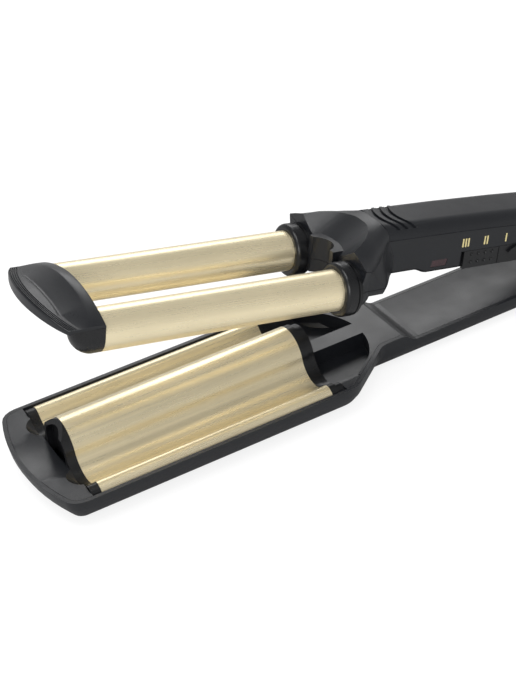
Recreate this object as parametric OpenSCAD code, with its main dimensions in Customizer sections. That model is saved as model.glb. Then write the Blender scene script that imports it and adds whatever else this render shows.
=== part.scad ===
// Hair waver: two heated barrels on the upper arm shut into a wave-shaped plate on the lower arm.
// X runs along the arms with the jaws towards -X, the switch is on the -Y side and +Z is up.
// The origin lies on the resting face of the lower arm, straight below the hinge pin.
// The arms stand open, as the hinge spring holds them. The upper arm is drawn in its own frame,
// with the arms shut, z = 0 on the barrel axes and x = 0 on the hinge pin.

/* [Arms] */
// Distance from the hinge pin to the front face of the collars
reach = 161; // [156:1:170]
// Angle between the arms at rest
open_angle = 12.86; // [9:0.01:15]
// Height of the hinge pin above the resting face
hinge_h = 14; // [13.5:0.1:14.5]
// Height of the barrel axes above the resting face with the arms shut
barrel_h = 20; // [19.6:0.1:21]

/* [Barrels] */
// Diameter of each barrel
barrel_d = 19; // [18:0.1:19.4]
// Distance between the barrel axes
barrel_pitch = 44.2; // [43.6:0.1:45]
// Length of barrel between the tip cap and the collars
barrel_show = 116.4; // [110:0.1:122]
// Wall of the barrel tubes
barrel_wall = 1.2; // [1:0.1:1.5]
// Outside diameter of the collars
collar_d = 25; // [24:0.1:25.4]
// Length of the collars in front of the head
collar_l = 8.3; // [7.5:0.1:9.5]

/* [Tip cap] */
// Width of the tip cap at its top edge
cap_w = 63.6; // [63:0.1:65]
// Length of the tip cap from its rear face to the middle of the lip
cap_l = 24.9; // [23:0.1:26]
// Height of the crest at the rear of the cap above the barrel axes
crest_h = 13.9; // [13.4:0.1:15]
// Height of the lip above the barrel axes
lip_h = 10.9; // [10.4:0.1:11.6]
// Height of the front face of the lip, at its middle
lip_t = 5; // [4:0.1:5.4]
// Height of the joint between the two halves of the cap
cap_joint = 5.6; // [5:0.1:6]

/* [Wave plate] */
// Length of the plate
plate_l = 115.7; // [108:0.1:118]
// Thickness of the plate
plate_t = 1.5; // [1.2:0.1:1.8]
// Gap left for hair between the barrels and the plate
hair_gap = 0.8; // [0.6:0.1:1]
// Height of the middle ridge above the barrel axes
ridge_h = 8.9; // [8.5:0.1:9.4]
// Drop from the barrel axes to the outer crests of the plate
crest_drop = 4.3; // [4:0.1:4.6]
// Drop from the barrel axes to the bottom of the skirts
skirt_drop = 6.9; // [6.6:0.1:7.2]
// Distance from the rear end of the plate to the front face of the collars
plate_back = 8.8; // [8:0.1:10]

/* [Tray] */
// Width of the tray that carries the plate
tray_w = 82.8; // [82.4:0.1:84]
// Width of the tray's rim beside the plate
rim_w = 2.9; // [2.7:0.1:3.1]
// Length of the tray ahead of the plate
nose_l = 22.5; // [20:0.1:25]
// Height of the tray rim above the resting face
tray_h = 14.3; // [14.1:0.1:14.5]
// Radius of the long bottom edges of the tray
belly_r = 14; // [12:0.1:14]
// Wall of the moulded shells
wall = 2; // [1.8:0.1:2.2]

/* [Lower handle] */
// Width of the lower handle
grip_w = 40; // [39.4:0.1:41]
// Height of the gripping face above the resting face
grip_h = 10.2; // [9.8:0.1:10.6]
// Radius of the hollow across the gripping face
grip_hollow_r = 150; // [120:1:300]

/* [Upper handle] */
// Width of the upper handle
handle_w = 30.6; // [30:0.1:31]
// Height of the crown above the barrel axes, at the head
crown_h = 21.9; // [21.4:0.1:22.4]
// Height of the joint between the top shell and the side panels, at the head
seam_h = 16.1; // [15.6:0.1:16.6]
// Wall of the upper handle
handle_wall = 2.4; // [2.2:0.1:2.6]
// Number of ribs across the crown
rib_count = 3; // [1:1:4]
// Distance between the ribs
rib_pitch = 4.4; // [4:0.1:5]
// Width of the head over its front corners
head_w = 67.8; // [67:0.1:69]
// Length of the head
head_l = 23.7; // [23.5:0.1:25]

/* [Switch] */
// Distance between the settings III, II, I and 0
step = 11.8; // [10:0.1:11.8]
// Length of the slide button
button_l = 38; // [36:0.1:38]
// Height of the slide button
button_h = 8.9; // [8:0.1:8.9]
// Length of the indicator window
window_l = 8.6; // [7:0.1:9]
// Height of the indicator window
window_h = 3.3; // [2.6:0.1:3.6]

/* [Hinge] */
// Diameter of the hinge pin
pin_d = 5; // [4.6:0.1:5.2]
// Radius of the ears on the lower arm
ear_r = 8.6; // [8:0.1:8.8]
// Thickness of each ear
ear_t = 3.6; // [3.2:0.1:3.8]
// Diameter of the wire of the hinge spring
spring_wire = 1.6; // [1.2:0.1:1.7]
// Turns of the hinge spring
spring_turns = 4; // [3:1:5]

/* [Cord inlet] */
// Diameter of the bore for the cord
cord_d = 6.4; // [6:0.1:7]
// Outside diameter of the swivel neck
swivel_d = 11.6; // [11:0.1:12]

/* [Hidden] */
$fn = 64;

// Clearances
fit = 0.15;        // between mouldings that seat in each other
slide_fit = 0.1;   // between the slide button and its track
pin_fit = 0.05;    // radial, between the pin and the lugs that turn on it
joint_gap = 0.2;   // open joint between two halves of a casing
over = 1;          // how far a cutting shape runs past what it cuts

// Stations along the arms, measured from the hinge pin
x_collar = -reach;
x_head = x_collar + collar_l;
x_ring = x_head + head_l;
x_panel = x_ring + 4;
x_cap = x_collar - barrel_show;
x_plate1 = x_collar - plate_back;
x_plate0 = x_plate1 - plate_l;
x_nose = x_plate0 - nose_l;

// Wave of the plate, around the barrels: trough, ridge and outer crest arcs that meet in tangents
plate_w = tray_w - 2 * rim_w;
pitch2 = barrel_pitch / 2;
barrel_r = barrel_d / 2;
trough_r = barrel_r + hair_gap;
ridge_reach = trough_r + ridge_h;
ridge_z = (pow(ridge_reach, 2) - pow(pitch2, 2)) / (2 * ridge_reach);
ridge_r = ridge_h - ridge_z;
side_run = plate_w / 2 - pitch2;
crest_b = side_run - crest_drop + trough_r;
crest_c = pow(side_run, 2) + pow(crest_drop, 2) - pow(trough_r, 2);
crest_r = crest_b - sqrt(pow(crest_b, 2) - crest_c);
crest_y = plate_w / 2 - crest_r;
crest_z = -crest_drop - crest_r;
trough_z = -trough_r;
tangent_lap = 0.02;  // lets arcs that meet in a tangent cross instead
arc_lap = 0.3;       // how far the middle of the wave laps over the centres of its arcs

// Plate ends
end_front_l = 4.5;
end_rear_l = 6.8;
end_inset = 0.25;

// ---------------------------------------------------------------- helpers

// A flat outline in (y, z) made solid from x = a to x = b
module along_x(a, b) {
    translate([a, 0, 0]) rotate([90, 0, 90]) linear_extrude(b - a) children();
}

// A flat outline in (x, z) made solid from y = a to y = b
module along_y(a, b) {
    translate([0, b, 0]) rotate([90, 0, 0]) linear_extrude(b - a) children();
}

// A round bar along X from x = a to x = b
module bar_x(a, b, r, y = 0, z = 0) {
    translate([a, y, z]) rotate([0, 90, 0]) cylinder(r = r, h = b - a);
}

// A round bar along Y from y = a to y = b
module bar_y(a, b, r, x = 0, z = 0) {
    translate([x, b, z]) rotate([90, 0, 0]) cylinder(r = r, h = b - a);
}

// A block given by its low and high corners
module block(low, high) {
    translate(low) cube(high - low);
}

module both_sides() {
    children();
    mirror([0, 1, 0]) children();
}

// Places what is drawn in the upper arm's own frame at the resting pose
module upper() {
    translate([0, 0, hinge_h]) rotate([0, open_angle, 0]) translate([0, 0, barrel_h - hinge_h]) children();
}

// Skins a solid through rings of points, all of one length, listed along +X or +Y
module loft(rings, flip = false) {
    n = len(rings[0]);
    m = len(rings);
    pts = [for (r = rings) for (p = r) p];
    sides = [for (i = [0:m - 2], j = [0:n - 1])
        let (a = i * n + j, b = i * n + (j + 1) % n, c = b + n, d = a + n)
        each [[a, c, b], [a, d, c]]];
    caps = [[for (j = [0:n - 1]) j], [for (j = [n - 1:-1:0]) (m - 1) * n + j]];
    faces = concat(sides, caps);
    polyhedron(pts, flip ? [for (f = faces) [for (k = [len(f) - 1:-1:0]) f[k]]] : faces);
}

function smooth(a, b, x) = let (t = min(1, max(0, (x - a) / (b - a)))) t * t * (3 - 2 * t);
function mix(a, b, t) = a + (b - a) * t;
function arc_points(c, r, a0, a1, n) = [for (i = [0:n]) c + r * [cos(mix(a0, a1, i / n)), sin(mix(a0, a1, i / n))]];

function bezier(a, b, c, t) = a * pow(1 - t, 2) + b * 2 * t * (1 - t) + c * t * t;

// Ring of a rounded box section, half width w, from zb to zt, top corners rt, bottom corners rb
function box_ring(x, w, zb, zt, rt, rb, n = 6) = [for (p = concat(
    arc_points([-w + rb, zb + rb], rb, 180, 270, n), arc_points([w - rb, zb + rb], rb, 270, 360, n),
    arc_points([w - rt, zt - rt], rt, 0, 90, n), arc_points([-w + rt, zt - rt], rt, 90, 180, n)))
    [x, p[0], p[1]]];

// ---------------------------------------------------------------- wave

// Everything under the wave from x = a to x = b, with its surface lowered by off, down to z = low
module wave(a, b, off, low) {
    edge = plate_w / 2 - off;
    shoulder_z = crest_z + arc_lap;
    difference() {
        union() {
            along_x(a, b) polygon([[0, ridge_z + arc_lap], [pitch2, arc_lap], [crest_y, shoulder_z], [edge, shoulder_z],
                [edge, low - over], [-edge, low - over], [-edge, shoulder_z], [-crest_y, shoulder_z], [-pitch2, arc_lap]]);
            bar_x(a, b, ridge_r - off + tangent_lap, 0, ridge_z);
            for (s = [-1, 1]) bar_x(a, b, crest_r - off + tangent_lap, s * crest_y, crest_z);
        }
        for (s = [-1, 1]) bar_x(a - over, b + over, trough_r + off, s * pitch2);
        block([a - over, -plate_w, low - plate_w], [b + over, plate_w, low]);
    }
}

// ---------------------------------------------------------------- lower arm

nose_arc_r = 105;
nose_corner_r = 9;
shoulder_r = 16.7;
x_shoulder = x_collar - 3;      // where the tray starts to narrow
shoulder_a = 51.3;              // bearing of the wall that closes the tray in to the handle
x_step = x_ring + 9;            // top of the step down to the gripping face
step_l = 8;
x_grip_end = -11;               // rear end of the cover, ahead of the hinge
x_tail = ear_r + 0.9;           // rear end of the lower arm
tail_corner_r = 3;
grip_belly_r = 8.5;             // rounding of the bottom edges of the handle
tail_belly_r = 5;
floor_t = wall;
boss_z = 5;                     // where the shell's screw posts meet the cover's bosses
tray_y = tray_w / 2;
grip_y = grip_w / 2;

// Half of the plan of the lower arm from the nose to the tail, drawn in by et round the tray,
// eh along the handle and ee at the tail
function half_plan(et, eh, ee) = let (
    rc = max(nose_corner_r - et, 1), cy = tray_y - et - rc, ac = asin(cy / (nose_arc_r - et - rc)),
    xa = x_nose + nose_arc_r, rs = max(shoulder_r - et, 1), rt = max(tail_corner_r - max(eh, ee), 0.5),
    n = [cos(shoulder_a), sin(shoulder_a)],
    ps = [x_shoulder, tray_y - shoulder_r] + (shoulder_r - et) * n, pc = [(n * ps - n[1] * (grip_y - eh)) / n[0], grip_y - eh])
    concat(arc_points([xa, 0], nose_arc_r - et, 180, 180 - ac, 6),
        [for (i = [1:4]) [xa - (nose_arc_r - et - rc) * cos(ac), cy]
            + rc * [cos(mix(180 - ac, 90, i / 4)), sin(mix(180 - ac, 90, i / 4))]],
        arc_points([x_shoulder, tray_y - et - rs], rs, 90, shoulder_a, 5),
        [for (i = [0:3]) bezier(pc + 2.5 * [-n[1], n[0]], pc, pc + [2.5, 0], i / 3)],
        arc_points([x_tail - ee - rt, grip_y - eh - rt], rt, 90, 0, 3));

// The whole plan, counted round from the nose along the -Y side
function whole_plan(et, eh, ee) = let (h = half_plan(et, eh, ee))
    concat([for (p = h) [p[0], -p[1]]], [for (i = [len(h) - 1:-1:1]) h[i]]);

// How far a bottom edge of radius r has come in at height z, on a surface d inside the outer one
function inset(r, d, z) = z >= r ? d : r - sqrt(max(0, pow(r - d, 2) - pow(r - z, 2)));

module lower_plan(d) {
    polygon(whole_plan(d, d, d));
}

// Outer form of the lower arm, drawn in by d, up to the height of the tray rim
module lower_form(d) {
    levels = concat([for (i = [0:6]) belly_r - (belly_r - d) * cos(i * 15)], [tray_h + over]);
    loft([for (z = levels) [for (p = whole_plan(inset(belly_r, d, z), inset(grip_belly_r, d, z), inset(tail_belly_r, d, z)))
        [p[0], p[1], z]]]);
}

// What lies above the top line of the lower arm, lowered by d, with the step to the gripping face
module above_top(d) {
    along_y(-tray_w, tray_w) polygon(concat(
        [[x_nose - over, tray_h - d]],
        [for (i = [0:8]) [x_step + i / 8 * step_l, mix(tray_h, grip_h, smooth(0, 8, i)) - d]],
        [[x_tail + over, grip_h - d], [x_tail + over, 2 * tray_h], [x_nose - over, 2 * tray_h]]));
}

lower_screw_at = [[x_nose + 13.4, -24], [x_nose + 13.4, 24], [x_ring - 1, 0], [-36, 0]];
screw_head_r = 2.7;
screw_r = 1.25;

module lower_shell() {
    color("#2b2d2f") difference() {
        union() {
            difference() {
                lower_form(0);
                above_top(0);
                lower_form(wall);
            }
            intersection() {
                for (p = lower_screw_at) translate([p[0], p[1], 0]) cylinder(r = 4, h = boss_z);
                lower_form(wall / 2);
            }
            // ears that carry the hinge pin, each standing on its side wall
            both_sides() {
                bar_y(ear_y0, ear_y1, ear_r, 0, hinge_h);
                block([-ear_r, ear_y0, grip_belly_r], [ear_r, ear_y1, hinge_h]);
            }
            intersection() {
                both_sides() block([-ear_r, ear_y0, wall], [ear_r, grip_y, grip_belly_r]);
                lower_form(wall / 2);
            }
            // seat of the lower leg of the spring
            block([-spring_leg0, -6, wall / 2], [-spring_leg0 + 3.5, 6, hinge_h - spring_r - spring_wire / 2 - slide_fit / 2]);
        }
        bar_y(-ear_y1 - over, ear_y1 + over, pin_d / 2, 0, hinge_h);
        both_sides() bar_y(ear_y1 - hinge_cap_t, ear_y1 + over, hinge_cap_r + fit, 0, hinge_h);
        for (p = lower_screw_at) translate([p[0], p[1], -over]) {
            cylinder(r = screw_head_r + fit, h = over + 3);
            cylinder(r = screw_r + fit, h = over + boss_z + over);
        }
    }
}

// Hinge widths, from the handle outwards
washer_t = 0.5;
ear_y0 = handle_w / 2 + washer_t + 2 * slide_fit;
ear_y1 = ear_y0 + ear_t;
hinge_cap_t = 1;
hinge_cap_r = 4.6;

// Plan of the pockets behind the plate that take the collars when the arms shut
pocket_bar = 4.8;
x_pocket0 = x_plate1 + end_rear_l + fit;
x_pocket1 = x_collar + 28.5;
pocket_arc_r = 36;
pocket_wall = 1.5;
pocket_clear = 0.9;
shut_gap = 0.35;                // between the arms when they are shut

module pocket_plan() {
    intersection() {
        lower_plan(wall + pocket_wall);
        translate([x_pocket1 - pocket_arc_r, 0]) circle(r = pocket_arc_r, $fn = 128);
        translate([x_pocket0, pocket_bar]) square([x_pocket1 - x_pocket0, tray_w]);
    }
}

module pockets() {
    collar_clear = collar_d / 2 + pocket_clear;
    // room for the rear edge of the collar
    both_sides() bar_x(x_collar + 1, x_head + shut_gap, collar_d / 2 + shut_gap, pitch2, barrel_h);
    both_sides() intersection() {
        linear_extrude(2 * tray_h) pocket_plan();
        union() {
            bar_x(x_pocket0 - over, x_pocket1 + over, collar_clear, pitch2, barrel_h);
            block([x_pocket0 - over, 0, barrel_h - collar_clear], [x_pocket1 + over, pitch2, 2 * tray_h]);
        }
    }
}

ledge_h = 2.4;
cover_t = 2.2;
tip_block_z = 8;
bridge_z = boss_z + fit;
scoop_x = x_plate0 - 0.6;

module lower_cover() {
    d = wall + fit;
    rail_z = barrel_h - skirt_drop - fit;
    x_open = x_plate0 - end_front_l - fit;
    color("#4a4c4e") difference() {
        union() {
            // nose, side rails and bridge
            intersection() {
                lower_form(d);
                union() {
                    block([x_nose, -tray_w, tip_block_z], [x_open, tray_w, 2 * tray_h]);
                    block([x_nose, -tray_w, rail_z - ledge_h], [x_pocket0, tray_w, 2 * tray_h]);
                    block([x_pocket0, -tray_w, bridge_z], [x_step - 2, tray_w, 2 * tray_h]);
                    block([x_step - 3, -tray_w, grip_h - 1.1 - cover_t], [x_grip_end, tray_w, 2 * tray_h]);
                }
            }
            // bosses for the screws
            intersection() {
                for (p = lower_screw_at)
                    translate([p[0], p[1], boss_z + fit]) cylinder(r = 3.6, h = tip_block_z);
                lower_form(d);
            }
        }
        above_top(0);
        // opening for the plate above the ledge, and for what lies under it
        block([x_open, -tray_w, rail_z], [x_pocket0, tray_w, 2 * tray_h]);
        block([x_open, -crest_y - 0.4, -over], [x_pocket0, crest_y + 0.4, 2 * tray_h]);
        // hollow of the nose and the scoops that take the tip cap
        translate([x_plate0 - 7, 0, tray_h - 2.4 + 90]) sphere(r = 90, $fn = 96);
        for (s = [-1, 1]) {
            translate([scoop_x, s * pitch2, barrel_h]) sphere(r = trough_r + 0.05);
            bar_x(scoop_x, x_plate0, trough_r, s * pitch2, barrel_h);
        }
        // hollow across the gripping face
        bar_x(x_step + step_l + 2, x_grip_end + over, grip_hollow_r, 0, grip_h - 1.1 + grip_hollow_r, $fn = 200);
        pockets();
        for (p = lower_screw_at) translate([p[0], p[1], 0]) cylinder(r = screw_r + pin_fit, h = 9.4);
    }
}

// What lies below the skirts, outside the troughs
module plate_skirt_cut(a, b) {
    both_sides() block([a - over, crest_y - 0.8, -skirt_drop - plate_w], [b + over, plate_w, -skirt_drop]);
}

module wave_plate() {
    color("#d9cda4") translate([0, 0, barrel_h]) difference() {
        wave(x_plate0, x_plate1, 0, trough_z - 2 * plate_t);
        wave(x_plate0 - over, x_plate1 + over, plate_t, trough_z - 3 * plate_t);
        plate_skirt_cut(x_plate0, x_plate1);
    }
}

// Opening under the ridge, with a wall of w left round it
module under_ridge(a, b, w) {
    bar_x(a, b, ridge_r - w, 0, ridge_z);
    block([a, -ridge_r + w, 2 * trough_z], [b, ridge_r - w, ridge_z]);
}

module plate_end_front() {
    x0 = x_plate0 - end_front_l;
    color("#232427") translate([0, 0, barrel_h]) difference() {
        wave(x0, x_plate0, end_inset, trough_z - 1.6);
        plate_skirt_cut(x0, x_plate0);
        under_ridge(x0 - over, x_plate0 - 1.4, 2.2);
        // the top of the arch slopes forward
        end_slope(0);
    }
}

module plate_end_rear() {
    x1 = x_plate1 + end_rear_l;
    color("#232427") translate([0, 0, barrel_h]) difference() {
        wave(x_plate1, x1, end_inset, trough_z - 1.6);
        plate_skirt_cut(x_plate1, x1);
        under_ridge(x_plate1 + 1.6, x1 + over, 3);
        // the rear half stands a little lower
        difference() {
            block([x_plate1 + 3.4, -plate_w, 2 * trough_z], [x1 + over, plate_w, 2 * ridge_h]);
            wave(x_plate1 + 3, x1 + 2 * over, 1.1, trough_z - 7);
        }
    }
}

// Heater of the plate, under the ridge
heater_end = 7.85;              // from the ends of the plate to the heater
plate_heater_l = plate_l - 2 * heater_end;
plate_heater_w = 14;
plate_heater_t = 4;
spreader_r = ridge_r - plate_t - fit;
spreader_z = barrel_h + ridge_z - 3.5;
x_plate_mid = (x_plate0 + x_plate1) / 2;

module plate_spreader() {
    half_l = plate_heater_l / 2 + 2;
    color("silver") difference() {
        bar_x(x_plate_mid - half_l, x_plate_mid + half_l, spreader_r, 0, barrel_h + ridge_z);
        block([x_plate_mid - half_l - over, -tray_w, 0], [x_plate_mid + half_l + over, tray_w, spreader_z]);
        block([x_plate_mid - half_l - over, -plate_heater_w / 2 - slide_fit, 0],
            [x_plate_mid + half_l + over, plate_heater_w / 2 + slide_fit, spreader_z + plate_heater_t + slide_fit]);
    }
}

module plate_heater() {
    color("sandybrown") block([x_plate_mid - plate_heater_l / 2, -plate_heater_w / 2, spreader_z],
        [x_plate_mid + plate_heater_l / 2, plate_heater_w / 2, spreader_z + plate_heater_t]);
}

clip_t = 0.8;

// Sheet spring that stands on the floor and presses the heater against the ridge
module heater_clip() {
    z1 = spreader_z - slide_fit;
    color("gainsboro") for (x = [x_plate_mid - 32, x_plate_mid + 32]) {
        block([x - 5, -8.4, z1 - clip_t], [x + 5, 8.4, z1]);
        both_sides() block([x - 5, 8.4 - clip_t, floor_t + slide_fit], [x + 5, 8.4, z1 - clip_t / 2]);
        both_sides() block([x - 5, 8.4 - clip_t, floor_t + slide_fit], [x + 5, 12, floor_t + slide_fit + clip_t]);
    }
}

fuse_r = 2;

module thermal_fuse() {
    color("silver") bar_x(x_plate_mid - 6, x_plate_mid + 6, fuse_r, -pitch2,
        barrel_h - trough_r - plate_t - fuse_r - slide_fit);
}

lead_r = 0.8;
lead_z = floor_t + lead_r + slide_fit;

// The two leads of the plate heater, along the floor of the lower arm
module lower_leads() {
    color("firebrick") for (s = [-1, 1]) {
        bar_x(x_plate_mid + plate_heater_l / 2 + 1, -spring_leg0 - 2, lead_r, s * 5.4, lead_z);
        translate([x_plate_mid + plate_heater_l / 2 + 1, s * 5.4, lead_z]) sphere(r = lead_r, $fn = 24);
        translate([x_plate_mid + plate_heater_l / 2 + 1, s * 5.4, lead_z])
            cylinder(r = lead_r, h = spreader_z + plate_heater_t / 2 - lead_z);
        bar_x(x_plate_mid + plate_heater_l / 2 + slide_fit, x_plate_mid + plate_heater_l / 2 + 1 + lead_r,
            lead_r, s * 5.4, spreader_z + plate_heater_t / 2);
    }
}

module screw(head_z, tip_z) {
    difference() {
        union() {
            translate([0, 0, head_z]) cylinder(r = screw_head_r, h = 2);
            translate([0, 0, head_z + 2]) cylinder(r = screw_r, h = tip_z - head_z - 2);
        }
        for (a = [0, 90]) rotate([0, 0, a]) translate([-1.6, -0.35, head_z - over]) cube([3.2, 0.7, over + 1]);
    }
}

module lower_screws() {
    color("dimgray") for (p = lower_screw_at) translate([p[0], p[1], 0]) screw(1, 9.2);
}

// ---------------------------------------------------------------- hinge

module hinge_pin() {
    color("lightgray") bar_y(-ear_y1 + hinge_cap_t + slide_fit, ear_y1 - hinge_cap_t - slide_fit, pin_d / 2, 0, hinge_h);
}

module hinge_washers() {
    color("whitesmoke") both_sides() difference() {
        bar_y(ear_y0 - washer_t, ear_y0, pin_d / 2 + 2, 0, hinge_h);
        bar_y(ear_y0 - washer_t - over, ear_y0 + over, pin_d / 2 + pin_fit, 0, hinge_h);
    }
}

module hinge_caps() {
    color("#232427") both_sides() bar_y(ear_y1 - hinge_cap_t, ear_y1 - slide_fit / 2, hinge_cap_r, 0, hinge_h);
}

spring_r = pin_d / 2 + spring_wire / 2 + 0.9;
spring_pitch = spring_wire + 0.45;
spring_sides = 6;
spring_leg0 = 10;      // leg on the floor of the lower arm
spring_leg1 = 15;      // leg under its seat in the upper arm
spring_a0 = open_angle;
spring_a1 = 360 * spring_turns + 180;
spring_steps = 16 * spring_turns + 8;

function spring_centre(a) = [spring_r * sin(a), spring_pitch * (a - (spring_a0 + spring_a1) / 2) / 360, spring_r * cos(a)];
function spring_ring(a, run) = let (q = spring_wire / 2) [for (k = [0:spring_sides - 1]) let (b = k * 360 / spring_sides)
    spring_centre(a) + [cos(a), 0, -sin(a)] * run + q * [cos(b) * sin(a), sin(b), cos(b) * cos(a)]];

// Wound wire round the pin, with one leg in each arm
module hinge_spring() {
    angles = [for (i = [0:spring_steps]) mix(spring_a0, spring_a1, i / spring_steps)];
    coil = [for (a = angles) spring_ring(a, 0)];
    echo("least gap of the spring to itself", min([for (a = angles, b = angles) if (b > a + 180)
        norm(spring_centre(a) - spring_centre(b))]) - spring_wire);
    color("lightgray") translate([0, 0, hinge_h])
        loft(concat([spring_ring(spring_a0, -spring_leg1)], coil, [spring_ring(spring_a1, spring_leg0)]), true);
}

// ---------------------------------------------------------------- upper handle

arch_k = 4000;                   // the handle's lines fall by (run from the ring)^2 / arch_k
hollow_x = 0;
x_end = 24;                      // rear end of the handle shells
side_y = handle_w / 2;

function arch(x) = x < x_ring ? 0 : pow(x - x_ring, 2) / arch_k;
function crown_z(x) = crown_h - arch(x) - 2.2 * smooth(2, x_end + 8, x);
function seam_z(x) = seam_h - arch(x) - 2.2 * smooth(2, x_end + 8, x);
function under_z(x) = -1.2 - 2.3 * smooth(x_ring + 17, x_ring + 24, x) - 2 * smooth(x_ring + 60, -18, x)
    + 3.4 * smooth(2, x_end + 6, x);
function half_w(x) = side_y - 5.2 * smooth(ear_r, x_end + 8, x);

handle_x = [x_ring, x_ring + 8, x_ring + 17, x_ring + 18.7, x_ring + 20.5, x_ring + 22.3, x_ring + 24, x_ring + 40,
    x_ring + 60, x_ring + 75, x_ring + 90, x_ring + 104, x_ring + 116, 0, 6, ear_r + 1, 14, 18, 21, x_end];

// Form of the upper handle from the ring to one of its stations, drawn in by d
module handle_form(d, last = len(handle_x) - 1) {
    loft([for (i = [0:last]) let (x = handle_x[i],
        run = d > 0 && i == 0 ? -over : d > 0 && i == last ? over : 0)
        box_ring(x + run, half_w(x) - d, under_z(x) + d, crown_z(x) - d, 7.5 - d, max(2.6 - d, 0.4))]);
}

// What lies above the joint of the handle, raised by d
module above_seam(d) {
    xs = [for (i = [0:24]) mix(x_ring - over, x_end + over, i / 24)];
    along_y(-head_w, head_w) polygon(concat([for (x = xs) [x, seam_z(x) + d]],
        [[x_end + over, 3 * crown_h], [x_ring - over, 3 * crown_h]]));
}

rib_arc_r = 22;
rib_w = 1.3;
rib_rise = 0.3;
groove_w = 1.7;
groove_depth = 0.8;
rib_half_l = 12.6;

// Plan of a rib: a crescent of width w that starts at x0
module crescent(x0, w) {
    intersection() {
        difference() {
            translate([x0 + rib_arc_r, 0]) circle(r = rib_arc_r);
            translate([x0 + w + rib_arc_r, 0]) circle(r = rib_arc_r);
        }
        translate([x0 - over, -rib_half_l]) square([2 * rib_half_l, 2 * rib_half_l]);
    }
}

module handle_top() {
    color("#3a3c3f") difference() {
        union() {
            intersection() {
                difference() {
                    handle_form(0);
                    handle_form(handle_wall);
                }
                above_seam(joint_gap);
            }
            intersection() {
                handle_form(-rib_rise, 7);
                for (k = [0:rib_count - 1]) linear_extrude(2 * crown_h) crescent(x_rib0 + k * rib_pitch + groove_w, rib_w);
                translate([0, 0, crown_h - 5]) handle_shift();
            }
            // bosses for the screws
            for (x = handle_screw_x) translate([x, 0, seam_h - 8]) difference() {
                cylinder(r = 3.4, h = crown_h - seam_h + 8 - arch(x) - 1);
                translate([0, 0, -over]) cylinder(r = screw_r + pin_fit, h = over + 8);
            }
        }
        difference() {
            for (k = [0:rib_count - 1]) linear_extrude(2 * crown_h) crescent(x_rib0 + k * rib_pitch, groove_w);
            handle_form(groove_depth, 7);
        }
        clip_room();
    }
}

x_rib0 = x_ring + 1.6;
handle_screw_x = [x_ring + 14, -24];

// Keeps a rib to the crown
module handle_shift() {
    block([x_ring, -side_y, 0], [0, side_y, crown_h]);
}

// Slide button and its track, on the near side panel
button_x0 = x_ring + 44.1;
button_x1 = button_x0 + button_l;
button_z1 = 5.1;
button_z0 = button_z1 - button_h;
button_t = 1.5;
travel = 3 * step;
track_x0 = button_x0 - 1.9;
track_x1 = button_x1 + travel + 0.6;
stem_x = button_x0 + 19;
stem_l = 3;
stem_z0 = 0.2;
stem_z1 = 2.6;
window_x = x_ring + 25.4;
window_z = -0.4;
window_lean = 0.8;

module window_shape(grow) {
    polygon([[window_x - grow, window_z - grow], [window_x + window_l + grow, window_z - grow],
        [window_x + window_l + window_lean + grow, window_z + window_h + grow],
        [window_x + window_lean - grow, window_z + window_h + grow]]);
}

// Form of the head. Each station: x after the front face, then in (y, z) the bottom corner, the low
// side point, the top of the flat side, the crease, the two points that draw the dome, and the height
// of the joint under the dome at the middle
head_stations = [
    [0,    [30.2, -1.5], [31.1, 0.2],  [31.8, 5.0],   [head_w / 2, 12.9],        [17.0, 21.4], 20.9, 6],
    [4.2,  [30.2, -1.5], [31.0, 0.2],  [31.1, 8.6],   [head_w / 2 - 2.4, 11.2],  [22.5, 22.0], 21.2, 6.5],
    [8.2,  [30.2, -1.5], [31.0, 0.2],  [31.0, 7.4],   [head_w / 2 - 5.4, 10.6],  [25.5, 22.0], 21.3, 7.5],
    [13.2, [30.0, -1.5], [30.8, 0.2],  [30.9, 3.0],   [head_w / 2 - 9.6, 11.7],  [23.4, 22.2], 21.3, 10],
    [15.5, [28.0, -1.4], [28.8, 0.4],  [28.2, 4.6],   [head_w / 2 - 11.7, 12.9], [21.2, 22.2], 21.3, 11],
    [18.2, [25.2, -1.3], [26.0, 0.6],  [24.6, 5.6],   [head_w / 2 - 13.9, 14.2], [19.2, 22.4], 21.4, 12.5],
    [21.0, [21.8, -1.2], [22.6, 0.8],  [20.8, 6.4],   [head_w / 2 - 16.5, 15.4], [17.0, 22.5], 21.6, 14],
    [23.7, [18.2, -1.2], [19.2, 0.8],  [17.8, 6.8],   [side_y, seam_h],          [15.3, 22.7], crown_h, seam_h],
    [27.7, [side_y - 1, -1.2], [side_y, 1], [side_y, 8], [side_y, seam_h - 0.01], [15.3, 22.7], crown_h, seam_h]];
head_stretch = head_l / 23.7;

// A half ring of (y, z) points made whole: it starts at the bottom and goes round by the +Y side
function whole_ring(x, h) = concat([for (p = h) [x, p[0], p[1]]],
    [for (i = [len(h) - 1:-1:0]) if (h[i][0] > 0) [x, -h[i][0], h[i][1]]]);

// The body of the head below the crease, its top lowered by gap
module head_low_form(gap) {
    loft([for (s = head_stations)
        whole_ring(x_head + s[0] * head_stretch, [s[1], s[2], s[3], s[4] - [0, gap], [0, s[7] - gap]])]);
}

// The dome above the crease, mirrored so that its facets match those of the body under it
module head_dome_form() {
    mirror([0, 1, 0]) loft([for (s = head_stations) whole_ring(x_head + s[0] * head_stretch,
        concat([[0, s[7]]], [for (i = [0:6]) bezier(s[4], s[5], [0, s[6]], i / 7)], [[0, s[6]]]))]);
}

facet_tilt = 34.8;
facet_r = 39;
facet_x = x_head + 16.4;
facet_z = 20.5;
notch_r = 8;
notch_w = 20.4;
notch_front = 2.9;
notch_x = x_head + 2.4 - notch_r;
notch_top = 12.6;
socket_r = 10.1;
socket_x = x_head - 0.6;
spigot_r = socket_r - 1.6;
spigot_l = 2.4;

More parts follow.
